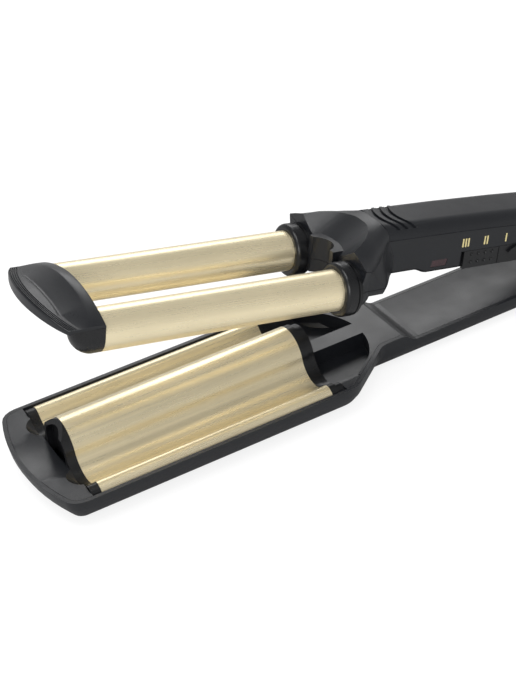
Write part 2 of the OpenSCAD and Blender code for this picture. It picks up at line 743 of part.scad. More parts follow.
// The sloping face on the dome, hollow across
module facet_cut() {
    translate([facet_x, 0, facet_z]) rotate([0, -facet_tilt, 0]) translate([0, 0, facet_r])
        rotate([0, 90, 0]) cylinder(r = facet_r, h = 4 * head_l, center = true, $fn = 120);
}

// Block between the collars, grown by d
module notch_block(d = 0) {
    block([x_head - notch_front - d, -notch_w / 2 - d, -5], [x_head + 5 + d, notch_w / 2 + d, notch_top + d]);
}

// Rounded housings behind the collars
module sockets() {
    for (s = [-1, 1]) translate([socket_x, s * pitch2, 0]) sphere(r = socket_r, $fn = 40);
}

// What is taken from every part of the head
module head_cuts() {
    // the notch between the collars
    translate([notch_x, 0, -crown_h]) cylinder(r = notch_r, h = 3 * crown_h);
    block([notch_x - 2 * notch_r, -notch_r, -crown_h], [notch_x, notch_r, 2 * crown_h]);
    // room for the collars and the leads
    for (s = [-1, 1]) {
        bar_x(x_head - 4 * notch_front, x_head, collar_d / 2 + fit, s * pitch2, $fn = 40);
        bar_x(x_head - over, x_head + spigot_l, spigot_r + fit, s * pitch2, $fn = 40);
        translate([socket_x, s * pitch2, 0]) sphere(r = spigot_r - 0.5, $fn = 28);
    }
    head_hollow();
}

// Room inside the head
module head_hollow() {
    run = head_stretch;
    loft([box_ring(x_head + 4.6 * run, 23, 0.6, 7.6, 2, 1), box_ring(x_head + 9 * run, 23, 0.6, 12, 4, 1),
        box_ring(x_head + 15 * run, 20, 0.6, 16.2, 6, 1), box_ring(x_head + 19 * run, 15.4, 0.8, 18, 6, 1),
        box_ring(x_ring, side_y - handle_wall, under_z(x_ring) + handle_wall, crown_h - handle_wall, 5.1, 0.6),
        box_ring(x_panel + over, side_y - handle_wall, under_z(x_ring) + handle_wall, crown_h - handle_wall, 5.1, 0.6)]);
}

head_joint_z = 1.5;
head_screw_at = [[x_head + 14.5, -11], [x_head + 14.5, 11]];
head_screw_z = 0.7;      // top of the screws' heads

// Everything below the joint between the head's floor and its sides, moved by d
module below_head_joint(d) {
    block([x_head - 4 * notch_front, -head_w, -collar_d], [x_ring - 5 + d, head_w, head_joint_z + d]);
}

module head_cap() {
    color("#4c4e51") difference() {
        union() {
            difference() {
                intersection() {
                    union() {
                        head_dome_form();
                        notch_block();
                    }
                    block([x_head - 2 * notch_front, -head_w, head_joint_z + joint_gap / 2], [x_ring - joint_gap / 2, head_w, 2 * crown_h]);
                }
                difference() {
                    facet_cut();
                    notch_block();
                }
                head_cuts();
            }
            // bosses for the screws
            for (p = head_screw_at) translate([p[0], p[1], 5]) cylinder(r = 3, h = 11.8, $fn = 32);
        }
        for (p = head_screw_at) translate([p[0], p[1], 0]) cylinder(r = screw_r + pin_fit, h = 12, $fn = 24);
    }
}

module head_bottom() {
    color("#2f3134") difference() {
        union() {
            intersection() {
                union() {
                    head_low_form(0);
                    notch_block();
                    sockets();
                }
                below_head_joint(-joint_gap / 2);
            }
        }
        difference() {
            head_cuts();
            // posts round the heads of the screws
            for (p = head_screw_at) translate([p[0], p[1], 0]) cylinder(r = 4, h = head_joint_z - joint_gap / 2, $fn = 32);
        }
        head_screw_holes();
    }
}

module head_screw_holes() {
    for (p = head_screw_at) translate([p[0], p[1], -collar_d]) {
        cylinder(r = screw_head_r + fit, h = collar_d + head_screw_z + 0.05, $fn = 24);
        cylinder(r = screw_r + fit, h = collar_d + 3, $fn = 24);
    }
}

// Sides of the head, from its floor joint up to the crease of the dome
module head_sides() {
    color("#313336") difference() {
        union() {
            head_low_form(joint_gap);
            difference() {
                sockets();
                translate([-joint_gap, 0, -0.9 * joint_gap]) head_dome_form();
            }
        }
        notch_block(joint_gap);
        below_head_joint(joint_gap / 2);
        head_cuts();
        block([x_ring - joint_gap / 2, -side_y - joint_gap, -collar_d], [x_panel + over, side_y + joint_gap, 2 * crown_h]);
        block([x_panel - 0.3, -head_w, -collar_d], [x_panel + over, head_w, 2 * crown_h]);
        head_screw_holes();
    }
}

lug_r = 6.4;
lug_t = 4;
bush_r = pin_d / 2 + 1.2;
board_z = 8;
board_t = 1.6;
board_x0 = x_ring + 24;
board_x1 = -30;
board_post_at = [[board_x0 + 6, 8], [board_x1 - 6, 8]];
screw_small_r = 0.9;

module handle_base() {
    color("#313336") difference() {
        union() {
            difference() {
                intersection() {
                    handle_form(0);
                    block([x_ring + joint_gap / 2, -head_w, -collar_d], [x_end, head_w, 2 * crown_h]);
                }
                handle_form(handle_wall);
                above_seam(0);
                // slot in the floor for the spring and its leg
                block([-spring_leg1 - 1, -spring_slot, -collar_d], [7, spring_slot, hinge_drop + spring_slot]);
            }
            // lugs that turn on the hinge pin
            both_sides() bar_y(side_y - lug_t, side_y, lug_r, 0, hinge_drop);
            // seat over the leg of the spring
            block([-spring_leg1 - 2, -spring_slot - 1.4, spring_seat_z], [-6.5, spring_slot + 1.4, spring_seat_z + 2]);
            both_sides() block([-spring_leg1 - 2, spring_slot, hinge_drop + 1.5], [-6.5, spring_slot + 1.4, spring_seat_z + 1]);
            // tongues that reach into the head
            both_sides() block([x_ring - 2.8, side_y - handle_wall - 1.6, 2.2], [x_ring + 6, side_y - handle_wall - fit, 13]);
            both_sides() block([x_ring + 1, side_y - handle_wall - 1.6, 2.2], [x_ring + 6, side_y - handle_wall + 0.4, 13]);
            // posts for the board and the screws
            for (p = board_post_at) translate([p[0], p[1], under_z(p[0]) + 1]) cylinder(r = 2.6, h = board_z - under_z(p[0]) - 1);
            for (x = handle_screw_x) translate([x, 0, under_z(x) + 0.3]) cylinder(r = 3.8, h = 5);
        }
        bar_y(-handle_w, handle_w, bush_r, 0, hinge_drop);
        // track and slot of the slide button, and the indicator window
        block([track_x0, -side_y - over, button_z0 - slide_fit - over],
            [track_x1, -side_y + button_t + slide_fit, button_z1 + slide_fit]);
        block([stem_x - stem_l / 2 - slide_fit, -side_y - over, stem_z0 - slide_fit],
            [stem_x + stem_l / 2 + travel + slide_fit, -side_y + handle_wall + over, stem_z1 + slide_fit]);
        along_y(-side_y - over, -side_y + handle_wall + over) window_shape(slide_fit);
        // screw holes
        for (x = handle_screw_x) translate([x, 0, under_z(x) - over]) {
            cylinder(r = screw_head_r + fit, h = over + 2.4);
            cylinder(r = screw_r + fit, h = over + 8);
        }
        for (p = board_post_at) translate([p[0], p[1], board_z - 5]) cylinder(r = screw_small_r + pin_fit, h = 6);
        clip_room();
    }
}

// Metal bushes pressed into the lugs, which turn on the pin
module hinge_bushes() {
    color("goldenrod") both_sides() difference() {
        bar_y(side_y - lug_t - 0.4, side_y + slide_fit, bush_r, 0, hinge_drop);
        bar_y(side_y - lug_t - over, side_y + over, pin_d / 2 + pin_fit, 0, hinge_drop);
    }
}

hinge_drop = hinge_h - barrel_h;
spring_slot = 7;
spring_seat_z = hinge_drop + spring_r + spring_wire / 2 + slide_fit / 2;

// ---------------------------------------------------------------- barrels, collars and tip cap

collar_floor = 1.4;
x_barrel1 = x_head - collar_floor - fit;

module barrel(side) {
    color("#d9cda4") difference() {
        bar_x(x_cap + fit, x_barrel1, barrel_r, side * pitch2);
        bar_x(x_cap - over, x_barrel1 + over, barrel_r - barrel_wall, side * pitch2);
    }
}

// Profile of a collar, turned round its barrel: a fat ring, two thin rings, a floor and a spigot
module collar(side) {
    r = collar_d / 2;
    color("#1f2023") translate([x_collar, side * pitch2, 0]) rotate([0, 90, 0]) rotate_extrude() difference() {
        union() {
            translate([0, 2]) square([r, collar_l - 4.6]);
            square([r - 2, 2.5]);
            translate([r - 2, 2]) circle(r = 2, $fn = 32);
            translate([0, 1]) square([r - 0.7, collar_l - 1]);
            translate([0, collar_l - 1.9]) square([r - 0.15, 0.8]);
            square([spigot_r, collar_l + spigot_l - 0.6]);
        }
        translate([-over, -over]) square([barrel_r + fit / 3 + over, collar_l - collar_floor + over]);
        square([core_r - 2.2, collar_l + spigot_l + over]);
    }
}

// The lip and the crest of the tip cap fall away to the sides: t runs from -1 to 1 across the cap
cap_half = cap_w / 2;
x_lip = x_cap - cap_l;
function lip_x(t) = x_lip + 7.3 * t * t;
function lip_z(t) = lip_h - 4.3 * t * t;
function lip_low(t) = lip_h - lip_t - 1.9 * t * t;
function crest_top(t) = crest_h - 7 * t * t;
function pad_z(t) = lip_h - 0.7 - 3.6 * t * t;

// Side view of the rest at t, from the rear face round to the underside
function rest_section(t) = let (y = t * cap_half, xl = lip_x(t), xp = xl + 4.3, zp = pad_z(t), zc = crest_top(t),
    xs = x_cap - 15, xc = x_cap - 4.6)
    concat([[x_cap, cap_joint], [x_cap, zc - 0.3], [x_cap - 0.6, zc]],
        [for (i = [0:6]) [mix(xc, xs, i / 6), mix(zc, zp - 0.25, smooth(0, 6, i))]],
        [[mix(xs, xp, 0.5), zp - 0.2], [xp, zp], [xl + 0.6, lip_z(t)], [xl, lip_z(t) - 0.6], [xl + 0.2, lip_low(t)],
        [x_lip + 9.3, min(cap_joint, lip_low(t) + 0.6)], [x_lip + 10.6, cap_joint]]);

module tip_rest() {
    steps = 14;
    color("#3d3f42") difference() {
        union() {
            loft([for (i = [0:steps]) let (t = mix(-1, 1, i / steps)) [for (p = rest_section(t)) [p[0], t * cap_half, p[1]]]], true);
            for (s = [-1, 1]) translate([x_tip_screw, s * pitch2, 1.5]) cylinder(r = 2.4, h = cap_joint - 1);
        }
        cap_wave_room();
        for (s = [-1, 1]) translate([x_tip_screw, s * pitch2, 0]) cylinder(r = screw_r + pin_fit, h = 7.6);
    }
}

lobe_r = barrel_r + fit;
bridge_top = lip_low(1) - joint_gap;
lobe_x = x_cap - 2.8;
x_tip_screw = x_cap - 6;

// Room for the ridge of the plate with its sloping end, and for hair, under the cap
module cap_wave_room() {
    difference() {
        wave(x_plate0 - end_front_l - 2, x_cap + over, -hair_gap, -2 * barrel_d);
        end_slope(hair_gap);
    }
}

// What lies above the sloping top of the front plate end, raised by d
module end_slope(d) {
    x0 = x_plate0 - end_front_l;
    along_y(-plate_w, plate_w) polygon([[x_plate0 + 0.2, ridge_h + 0.3 + d], [x0 - d, ridge_h - 4.4 + d],
        [x0 - d, -barrel_d], [x0 - 20, -barrel_d], [x0 - 20, 3 * ridge_h], [x_plate0 + 0.2, 3 * ridge_h]]);
}

module tip_base() {
    top = cap_joint - joint_gap;
    color("#2c2d30") difference() {
        union() {
            for (s = [-1, 1]) {
                // lobes with round noses, flush with the barrels
                bar_x(lobe_x, x_cap, lobe_r, s * pitch2);
                translate([lobe_x, s * pitch2, 0]) sphere(r = lobe_r - 0.04);
                translate([lobe_x, s * pitch2, 0]) cylinder(r = lobe_r, h = top);
                block([lobe_x, s * pitch2 - lobe_r, 0], [x_cap, s * pitch2 + lobe_r, top]);
                // spigots inside the barrels
                bar_x(x_cap - 3, x_cap + 8, barrel_r - barrel_wall - slide_fit, s * pitch2);
            }
            // bridge under the lip, and the arms that join it to the lobes
            block([x_lip + 6.5, -pitch2, bridge_top - 2.8], [x_plate0 - end_front_l - hair_gap, pitch2, bridge_top]);
            both_sides() block([x_lip + 6.5, pitch2 - 7, bridge_top - 2.8], [lobe_x, pitch2 + 3, bridge_top]);
        }
        block([x_cap - barrel_d, -cap_w, top], [x_cap + over, cap_w, 2 * barrel_d]);
        cap_wave_room();
        for (s = [-1, 1]) {
            // only the spigot goes into the barrel
            difference() {
                bar_x(x_cap, x_cap + barrel_d, lobe_r + over, s * pitch2);
                bar_x(x_cap - over, x_cap + 2 * barrel_d, barrel_r - barrel_wall - slide_fit, s * pitch2);
            }
            bar_x(x_cap - 2, x_cap + 8 + over, barrel_r - barrel_wall - slide_fit - 2, s * pitch2);
            translate([x_tip_screw, s * pitch2, 1.3]) cylinder(r = 2.4 + fit, h = cap_joint);
            translate([x_tip_screw, s * pitch2, -barrel_d]) cylinder(r = screw_r + fit, h = 2 * barrel_d);
            translate([x_tip_screw, s * pitch2, -barrel_d]) cylinder(r = screw_head_r + fit, h = barrel_d - 4);
        }
    }
}

module tip_screws() {
    color("dimgray") for (s = [-1, 1]) translate([x_tip_screw, s * pitch2, 0]) screw(-6.4, 7.2);
}

// Heaters of the barrels: a flat stone between two half-round bars
insulator_l = 7;
core_end = 8.15;                // from the heaters to the insulators
x_core = x_cap + 12;
core_l = x_barrel1 - insulator_l - core_end - x_core;
stone_w = 11;
stone_t = 3.6;
core_r = barrel_r - barrel_wall - slide_fit;

module barrel_spreaders() {
    color("silver") for (s = [-1, 1]) difference() {
        bar_x(x_core, x_core + core_l, core_r, s * pitch2);
        block([x_core - over, s * pitch2 - barrel_d, -stone_t / 2 - slide_fit],
            [x_core + core_l + over, s * pitch2 + barrel_d, stone_t / 2 + slide_fit]);
    }
}

module barrel_heaters() {
    color("sandybrown") for (s = [-1, 1])
        block([x_core + 3, s * pitch2 - stone_w / 2, -stone_t / 2], [x_core + core_l - 3, s * pitch2 + stone_w / 2, stone_t / 2]);
}

module barrel_insulators() {
    color("ivory") for (s = [-1, 1]) difference() {
        bar_x(x_barrel1 - insulator_l, x_barrel1 - slide_fit, core_r, s * pitch2);
        for (q = [-1, 1]) bar_x(x_barrel1 - insulator_l - over, x_barrel1 + over, lead_r + fit, s * pitch2 + q * 3);
    }
}

// ---------------------------------------------------------------- inside the upper handle

// A round bar from point a to point b, with a ball at b
module strand(a, b, r) {
    d = b - a;
    translate(a) rotate([0, acos(d[2] / norm(d)), atan2(d[1], d[0])]) cylinder(r = r, h = norm(d));
    translate(b) sphere(r = r + 0.01, $fn = 32);
}

// Leads from the barrel heaters to the board
module upper_leads() {
    color("firebrick") for (s = [-1, 1], q = [-1, 1]) {
        y1 = s * 5 + q * 2;
        a = [x_head + 1.5, s * pitch2 + q * 3, 0];
        b = [x_head + 4.8, a[1], 2.1];
        c = [x_head + 12, y1, 4.5];
        strand([x_core + core_l - 1, a[1], 0], a, lead_r);
        strand(a, b, lead_r);
        strand(b, c, lead_r);
        strand(c, [board_x0 + 2, y1, board_z - lead_r - slide_fit], lead_r);
    }
}

module control_board() {
    color("darkgreen") difference() {
        union() {
            block([board_x0, -12, board_z], [board_x1, 12, board_z + board_t]);
            // relay, capacitor, processor and terminal pins
            block([board_x0 + 30, 1, board_z + board_t], [board_x0 + 42, 9, board_z + board_t + 5]);
            translate([board_x0 + 50, 4, board_z + board_t]) cylinder(r = 3, h = 5);
            block([board_x0 + 18, -7, board_z + board_t], [board_x0 + 26, 1, board_z + board_t + 1.4]);
        }
        for (p = board_post_at) translate([p[0], p[1], 0]) cylinder(r = screw_small_r + slide_fit, h = 2 * board_z);
    }
}

module terminal_block() {
    color("lightgray") difference() {
        block([board_x1 - 14, -8, board_z + board_t], [board_x1 - 6, 4, board_z + board_t + 4]);
        for (y = [-5, 1]) translate([board_x1 - 10, y, board_z + board_t + 2]) cylinder(r = 1.2, h = 4);
    }
}

switch_y0 = -side_y + handle_wall + 1.9;

module switch_body() {
    x0 = stem_x - 6;
    x1 = stem_x + travel + 6;
    color("#202124") difference() {
        block([x0, switch_y0, -0.6], [x1, switch_y0 + 5.6, 5.6]);
        block([stem_x - stem_l / 2 - slide_fit, switch_y0 - over, stem_z0 - slide_fit],
            [stem_x + stem_l / 2 + travel + slide_fit, switch_y0 + 1.6, stem_z1 + slide_fit]);
    }
    // feet on the floor of the handle and legs up to the board
    color("#202124") {
        for (x = [x0 + 1, x1 - 3])
            block([x, switch_y0 + 1.6, under_z(x) + handle_wall + 0.3], [x + 2, switch_y0 + 5.6, 0]);
        for (x = [x0 + 1, board_x1 - 3])
            block([x, switch_y0 + 3, 5], [x + 2, switch_y0 + 4, board_z - 0.05]);
    }
}

led_x = window_x + window_l / 2 + window_lean / 2;
led_z = window_z + window_h / 2;

module power_led() {
    color("darkred") {
        bar_y(-side_y + handle_wall + 2.4, -side_y + handle_wall + 5, 1.5, led_x, led_z);
        translate([led_x, -side_y + handle_wall + 2.4, led_z]) sphere(r = 1.5, $fn = 32);
        for (q = [-1, 1]) block([led_x + q * 0.9 - 0.25, -side_y + handle_wall + 4.4, led_z + 0.8],
            [led_x + q * 0.9 + 0.25, -side_y + handle_wall + 4.9, board_z - 0.05]);
    }
}

module led_window() {
    color("#5a1f28") along_y(-side_y + 0.15, -side_y + handle_wall - 0.1) window_shape(0);
}

mark_h = 4.3;
mark_z = 7.6;
mark_w = 0.8;
mark_t = 0.15;

// Bars III, II and I over the track: the front edge of the button points to them
module setting_marks() {
    color("#e6d8a0") for (k = [0:2], j = [0:2 - k])
        translate([button_x0 + k * step + (j - (2 - k) / 2) * 1.55 - mark_w / 2, -side_y - mark_t, mark_z - 0.2 * k])
            cube([mark_w, mark_t, mark_h]);
}

module handle_screws() {
    color("dimgray") {
        for (x = handle_screw_x) translate([x, 0, under_z(x)]) screw(0.3, 14);
        for (p = head_screw_at) translate([p[0], p[1], 0]) screw(head_screw_z - 2, 11.6);
        for (p = board_post_at) translate([p[0], p[1], board_z + board_t]) {
            cylinder(r = 1.8, h = 1.2);
            translate([0, 0, -5]) cylinder(r = screw_small_r, h = 5);
        }
    }
}

// ---------------------------------------------------------------- slide button

dimple_pitch = 3.95;
fin_x0 = button_x0 + 25;

module slide_button() {
    y_face = -side_y - 0.1;
    y_back = -side_y + button_t;
    y_in = -side_y + handle_wall;
    color("#2a2c2f") difference() {
        union() {
            block([button_x0, y_face, button_z0], [button_x1, y_back, button_z1]);
            // fin for the thumb
            intersection() {
                bar_y(y_face - 1.3, y_back, 7.6, fin_x0 + 6.4, -3);
                bar_y(y_face - 1.3, y_back, 9.6, fin_x0 + 6.4, 9.2);
            }
            // stem and the plate that keeps it in the slot
            block([stem_x - stem_l / 2, y_back - 0.1, stem_z0], [stem_x + stem_l / 2, switch_y0 + 1.5, stem_z1]);
            block([stem_x - 4, y_in + 0.2, stem_z0 - 0.9], [stem_x + 4, y_in + 1.1, stem_z1 + 0.9]);
        }
        for (i = [0:3], j = [0, 1])
            translate([button_x0 + 4.3 + i * dimple_pitch, y_face - 0.35, -0.7 + j * 4]) sphere(r = 0.95, $fn = 24);
        block([button_x0 + 20, y_face - over, button_z0 - over], [button_x0 + 20.4, y_face + 0.3, button_z1 + over]);
    }
}

// ---------------------------------------------------------------- tail and cord inlet

tail_z = (crown_z(x_end) + under_z(x_end)) / 2;
tail_half = half_w(x_end);
tail_l = 5;
swivel_r = swivel_d / 2;
flange_r = swivel_r + 1.6;
flange_t = 1.6;
swivel_out = 9;

module tail_cap() {
    color("#232427") difference() {
        union() {
            loft([box_ring(x_end + joint_gap / 2, tail_half, under_z(x_end), crown_z(x_end), 7.5, 2.6),
                box_ring(x_end + tail_l * 0.6, tail_half - 0.5, under_z(x_end) + 0.5, crown_z(x_end) - 0.5, 7, 2.4),
                box_ring(x_end + tail_l, tail_half - 1.8, under_z(x_end) + 1.8, crown_z(x_end) - 1.8, 6, 2)]);
            loft([for (x = [x_end - 3, x_end + 1]) box_ring(x, half_w(x_end) - handle_wall - fit,
                under_z(x_end) + handle_wall + fit, crown_z(x_end) - handle_wall - fit, 5, 0.5)]);
        }
        bar_x(x_end - 3 - over, x_end + tail_l + over, swivel_r + pin_fit, 0, tail_z);
    }
}

// The sleeve that turns in the tail cap and holds the cord
module cord_swivel() {
    color("#1d1e20") difference() {
        union() {
            bar_x(x_end - 6.6, x_end + tail_l + swivel_out, swivel_r, 0, tail_z);
            bar_x(x_end + tail_l + slide_fit, x_end + tail_l + slide_fit + flange_t, flange_r, 0, tail_z);
        }
        bar_x(x_end - 6.6 - over, x_end + tail_l + swivel_out + over, cord_d / 2, 0, tail_z);
        // groove for the clip
        difference() {
            bar_x(x_end - 4.4, x_end - 3.3, swivel_r + over, 0, tail_z);
            bar_x(x_end - 5, x_end - 3, swivel_r - 0.9, 0, tail_z);
        }
    }
}

clip_r = swivel_r + 1.1;

// Room in the shells for the clip to turn
module clip_room() {
    bar_x(x_end - 4.9, x_end - 2.9, clip_r + 0.4, 0, tail_z);
}

module swivel_clip() {
    color("lightgray") difference() {
        bar_x(x_end - 4.3, x_end - 3.4, clip_r, 0, tail_z);
        bar_x(x_end - 5, x_end - 3, swivel_r - 0.85, 0, tail_z);
        block([x_end - 5, -2.6, tail_z - 2 * swivel_r], [x_end - 3, 2.6, tail_z]);
    }
}

// ---------------------------------------------------------------- assembly

lower_shell();
lower_cover();
wave_plate();
plate_end_front();
plate_end_rear();
plate_spreader();
plate_heater();
heater_clip();
thermal_fuse();
lower_leads();
lower_screws();
hinge_pin();
hinge_washers();
hinge_caps();
hinge_spring();
upper() handle_base();
upper() handle_top();
upper() hinge_bushes();
upper() head_sides();
upper() head_cap();
upper() head_bottom();
upper() tail_cap();
upper() barrel(-1);  // barrel_near
upper() barrel(1);  // barrel_far
upper() collar(-1);  // collar_near
upper() collar(1);  // collar_far
upper() tip_rest();
upper() tip_base();
upper() tip_screws();
upper() barrel_spreaders();
upper() barrel_heaters();
upper() barrel_insulators();
upper() upper_leads();
upper() control_board();
upper() terminal_block();
upper() switch_body();
upper() power_led();
upper() led_window();
upper() setting_marks();
upper() handle_screws();
upper() slide_button();
upper() cord_swivel();
upper() swivel_clip();
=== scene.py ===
"""Looks of a three-barrel hair waver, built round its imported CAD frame."""
import math

import bmesh
import bpy
from mathutils import Euler, Matrix, Vector


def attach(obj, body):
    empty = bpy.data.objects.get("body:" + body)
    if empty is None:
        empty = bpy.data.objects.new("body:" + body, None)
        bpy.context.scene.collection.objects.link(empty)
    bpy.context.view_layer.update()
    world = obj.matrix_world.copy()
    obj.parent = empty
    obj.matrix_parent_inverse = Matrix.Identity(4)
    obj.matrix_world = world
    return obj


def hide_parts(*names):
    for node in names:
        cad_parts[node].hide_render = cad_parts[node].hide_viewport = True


bl_info = {
    "name": "Hair waver looks",
    "version": (1, 0, 0),
    "blender": (4, 5, 0),
    "location": "3D View > Sidebar > Hair Waver",
    "description": "Builds the finished surfaces of a hair waver round its CAD frame",
    "category": "Object",
}

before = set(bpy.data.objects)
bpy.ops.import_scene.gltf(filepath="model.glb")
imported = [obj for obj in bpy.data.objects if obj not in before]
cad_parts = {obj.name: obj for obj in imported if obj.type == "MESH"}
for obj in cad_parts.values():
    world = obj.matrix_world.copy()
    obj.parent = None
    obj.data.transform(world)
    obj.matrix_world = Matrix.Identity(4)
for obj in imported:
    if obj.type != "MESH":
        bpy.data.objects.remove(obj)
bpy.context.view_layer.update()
MM = 0.001
LOWER, UPPER, SLIDER, INLET = "lower_arm", "upper_arm", "switch_slider", "cord_inlet"

# The upper arm is drawn shut, with x = 0 on the hinge pin and z = 0 on the barrel axes
OPEN_ANGLE = math.radians(12.86)
HINGE_H = 14.0
BARREL_H = 20.0
UPPER_FRAME = (Matrix.Translation((0, 0, HINGE_H * MM)) @ Matrix.Rotation(OPEN_ANGLE, 4, "Y")
               @ Matrix.Translation((0, 0, (BARREL_H - HINGE_H) * MM)))

# Points of the CAD's loose triangles that are closer than this are one point, in metres
MERGE = 0.000002
# Faces of a rounded piece that meet under this angle are one face, in degrees
FLAT = 0.6
# Widths of the bevels on the tray's edges and on the other casing, in metres
TRAY_BEVEL, CASING_BEVEL = 0.00028, 0.00022


# ---------------------------------------------------------------- settings

def colour_setting(name, description, default):
    return bpy.props.FloatVectorProperty(
        name=name, description=description, subtype="COLOR", size=3, default=default, min=0, max=1)


def share_setting(name, description, default):
    return bpy.props.FloatProperty(
        name=name, description=description, subtype="FACTOR", default=default, min=0, max=1)


def power_setting(name, description, default):
    return bpy.props.FloatProperty(
        name=name, description=description, subtype="POWER", unit="POWER", default=default, min=0)


def size_setting(name, description, default):
    """A size in millimetres"""
    return bpy.props.FloatProperty(name=name, description=description, default=default)


class WaverFinish(bpy.types.PropertyGroup):
    """Colours and surface of the moulded plastics and of the coated metal"""
    shell_colour: colour_setting(
        "Casing colour", "Charcoal of the lower casing and the side panels", (0.0066, 0.0074, 0.0094))
    cover_colour: colour_setting(
        "Cover colour", "Charcoal of the lower cover, the crown and the tip rest", (0.0078, 0.0086, 0.0106))
    dark_colour: colour_setting(
        "Dark parts colour", "Heat-proof plastic of the collars, the plate ends and the button",
        (0.0050, 0.0052, 0.0060))
    plastic_roughness: share_setting("Plastic roughness", "Roughness of the satin plastics", 0.34)
    grain_size: bpy.props.FloatProperty(
        name="Grain size", description="Size of the spark-eroded grain of the plastics",
        subtype="DISTANCE", unit="LENGTH", default=0.00035, min=0.0001, max=0.002)
    coat_colour: colour_setting(
        "Coat colour", "Champagne of the coated barrels and plate", (0.97, 0.85, 0.575))
    coat_roughness: share_setting("Coat roughness", "Roughness of the ceramic coat", 0.29)
    # the window's dark red is partly painted shade of the well behind it
    window_colour: colour_setting("Window colour", "Dark red of the indicator window", (0.022, 0.005, 0.008))
    print_colour: colour_setting("Print colour", "Pale gold of the setting marks", (0.66, 0.57, 0.28))


class TipRestSizes(bpy.types.PropertyGroup):
    """Sizes of the rest at the tip, in millimetres and in the upper arm's own frame"""
    half_width: size_setting("Half width", "Half of the width of the rest", 31.8)
    rear: size_setting("Rear face", "Station of the rear face along the arm", -277.4)
    length: size_setting("Length", "From the rear face to the middle of the lip", 24.9)
    crest: size_setting("Crest height", "Height of the crest above the barrel axes", 13.9)
    lip: size_setting("Lip height", "Height of the lip above the barrel axes", 10.9)
    lip_face: size_setting("Lip face", "Height of the front face of the lip", 5.0)
    joint: size_setting("Joint height", "Height of the joint with the lower half", 5.6)
    groove_count: bpy.props.IntProperty(
        name="Grooves", description="Number of grooves along the lip", default=4, min=0, max=6)
    groove_pitch: size_setting("Groove pitch", "Distance between the grooves", 1.0)
    groove_width: size_setting("Groove width", "Width of each groove", 0.56)
    groove_depth: size_setting("Groove depth", "Depth of each groove", 0.6)
    scoop_length: size_setting("Scoop length", "From the pad to the crest", 12.2)
    scoop_slope: share_setting("Scoop slope", "Share of the climb that is even", 0.92)
    scoop_dip: size_setting("Scoop dip", "Depth of the scoop below the pad", 1.2)


class MarkSizes(bpy.types.PropertyGroup):
    """Sizes of the printed settings III, II and I, in millimetres"""
    height: size_setting("Bar height", "Height of each bar", 4.3)
    width: size_setting("Bar width", "Width of each bar", 0.8)
    thickness: size_setting("Bar thickness", "How far the print stands proud", 0.15)
    pitch: size_setting("Bar pitch", "Distance between the bars of one setting", 1.55)
    step: size_setting("Setting step", "Distance between two settings", 11.8)
    corner: size_setting("Bar corner", "Radius of the bars' corners", 0.14)


class ScrewSizes(bpy.types.PropertyGroup):
    """Sizes of the casing screws, in millimetres"""
    head_radius: size_setting("Head radius", "Radius of the heads", 2.7)
    head_height: size_setting("Head height", "Height of the heads", 2.0)
    core_radius: size_setting("Core radius", "Radius of the shank inside the thread", 1.0)
    thread_radius: size_setting("Thread radius", "Radius over the thread", 1.24)
    thread_pitch: size_setting("Thread pitch", "Distance between two turns of the thread", 1.1)
    recess_width: size_setting("Recess width", "Length of the arms of the cross recess", 3.2)
    recess_depth: size_setting("Recess depth", "Depth of the cross recess", 1.0)


class SpringSizes(bpy.types.PropertyGroup):
    """Sizes of the hinge spring, in millimetres"""
    wire: size_setting("Wire", "Diameter of the wire", 1.6)
    coil_radius: size_setting("Coil radius", "Radius of the coil at the middle of the wire", 4.2)
    pitch: size_setting("Pitch", "Distance between two turns", 2.05)
    turns: bpy.props.IntProperty(name="Turns", description="Whole turns of the coil", default=4, min=1)
    upper_leg: size_setting("Upper leg", "Length of the leg in the upper arm", 15.0)
    lower_leg: size_setting("Lower leg", "Length of the leg in the lower arm", 10.0)


class StageLook(bpy.types.PropertyGroup):
    """Floor, lamps and world"""
    floor_colour: colour_setting("Floor colour", "Colour of the floor", (0.86, 0.86, 0.86))
    back_power: power_setting("Back lamp", "Power of the soft lamp behind the object", 4.8)
    top_power: power_setting("Top lamp", "Power of the soft lamp above the object", 7.5)
    front_power: power_setting("Front lamp", "Power of the soft lamp beside the camera", 8.5)
    world_light: bpy.props.FloatProperty(
        name="World light", description="Strength of the light from all round", default=1.0, min=0)


# ---------------------------------------------------------------- shaders

class Wire:
    """A value in a shader: arithmetic on it adds Math nodes"""

    def __init__(self, shader, socket):
        self.shader, self.socket = shader, socket

    def _math(self, operation, a, b, clamp=False):
        return self.shader.add("ShaderNodeMath", {"operation": operation, "use_clamp": clamp}, {0: a, 1: b})

    def __add__(self, other):
        return self._math("ADD", self, other)

    __radd__ = __add__

    def __sub__(self, other):
        return self._math("SUBTRACT", self, other)

    def __rsub__(self, other):
        return self._math("SUBTRACT", other, self)

    def __mul__(self, other):
        return self._math("MULTIPLY", self, other)

    __rmul__ = __mul__

    def clamped(self):
        return self._math("ADD", self, 0.0, clamp=True)


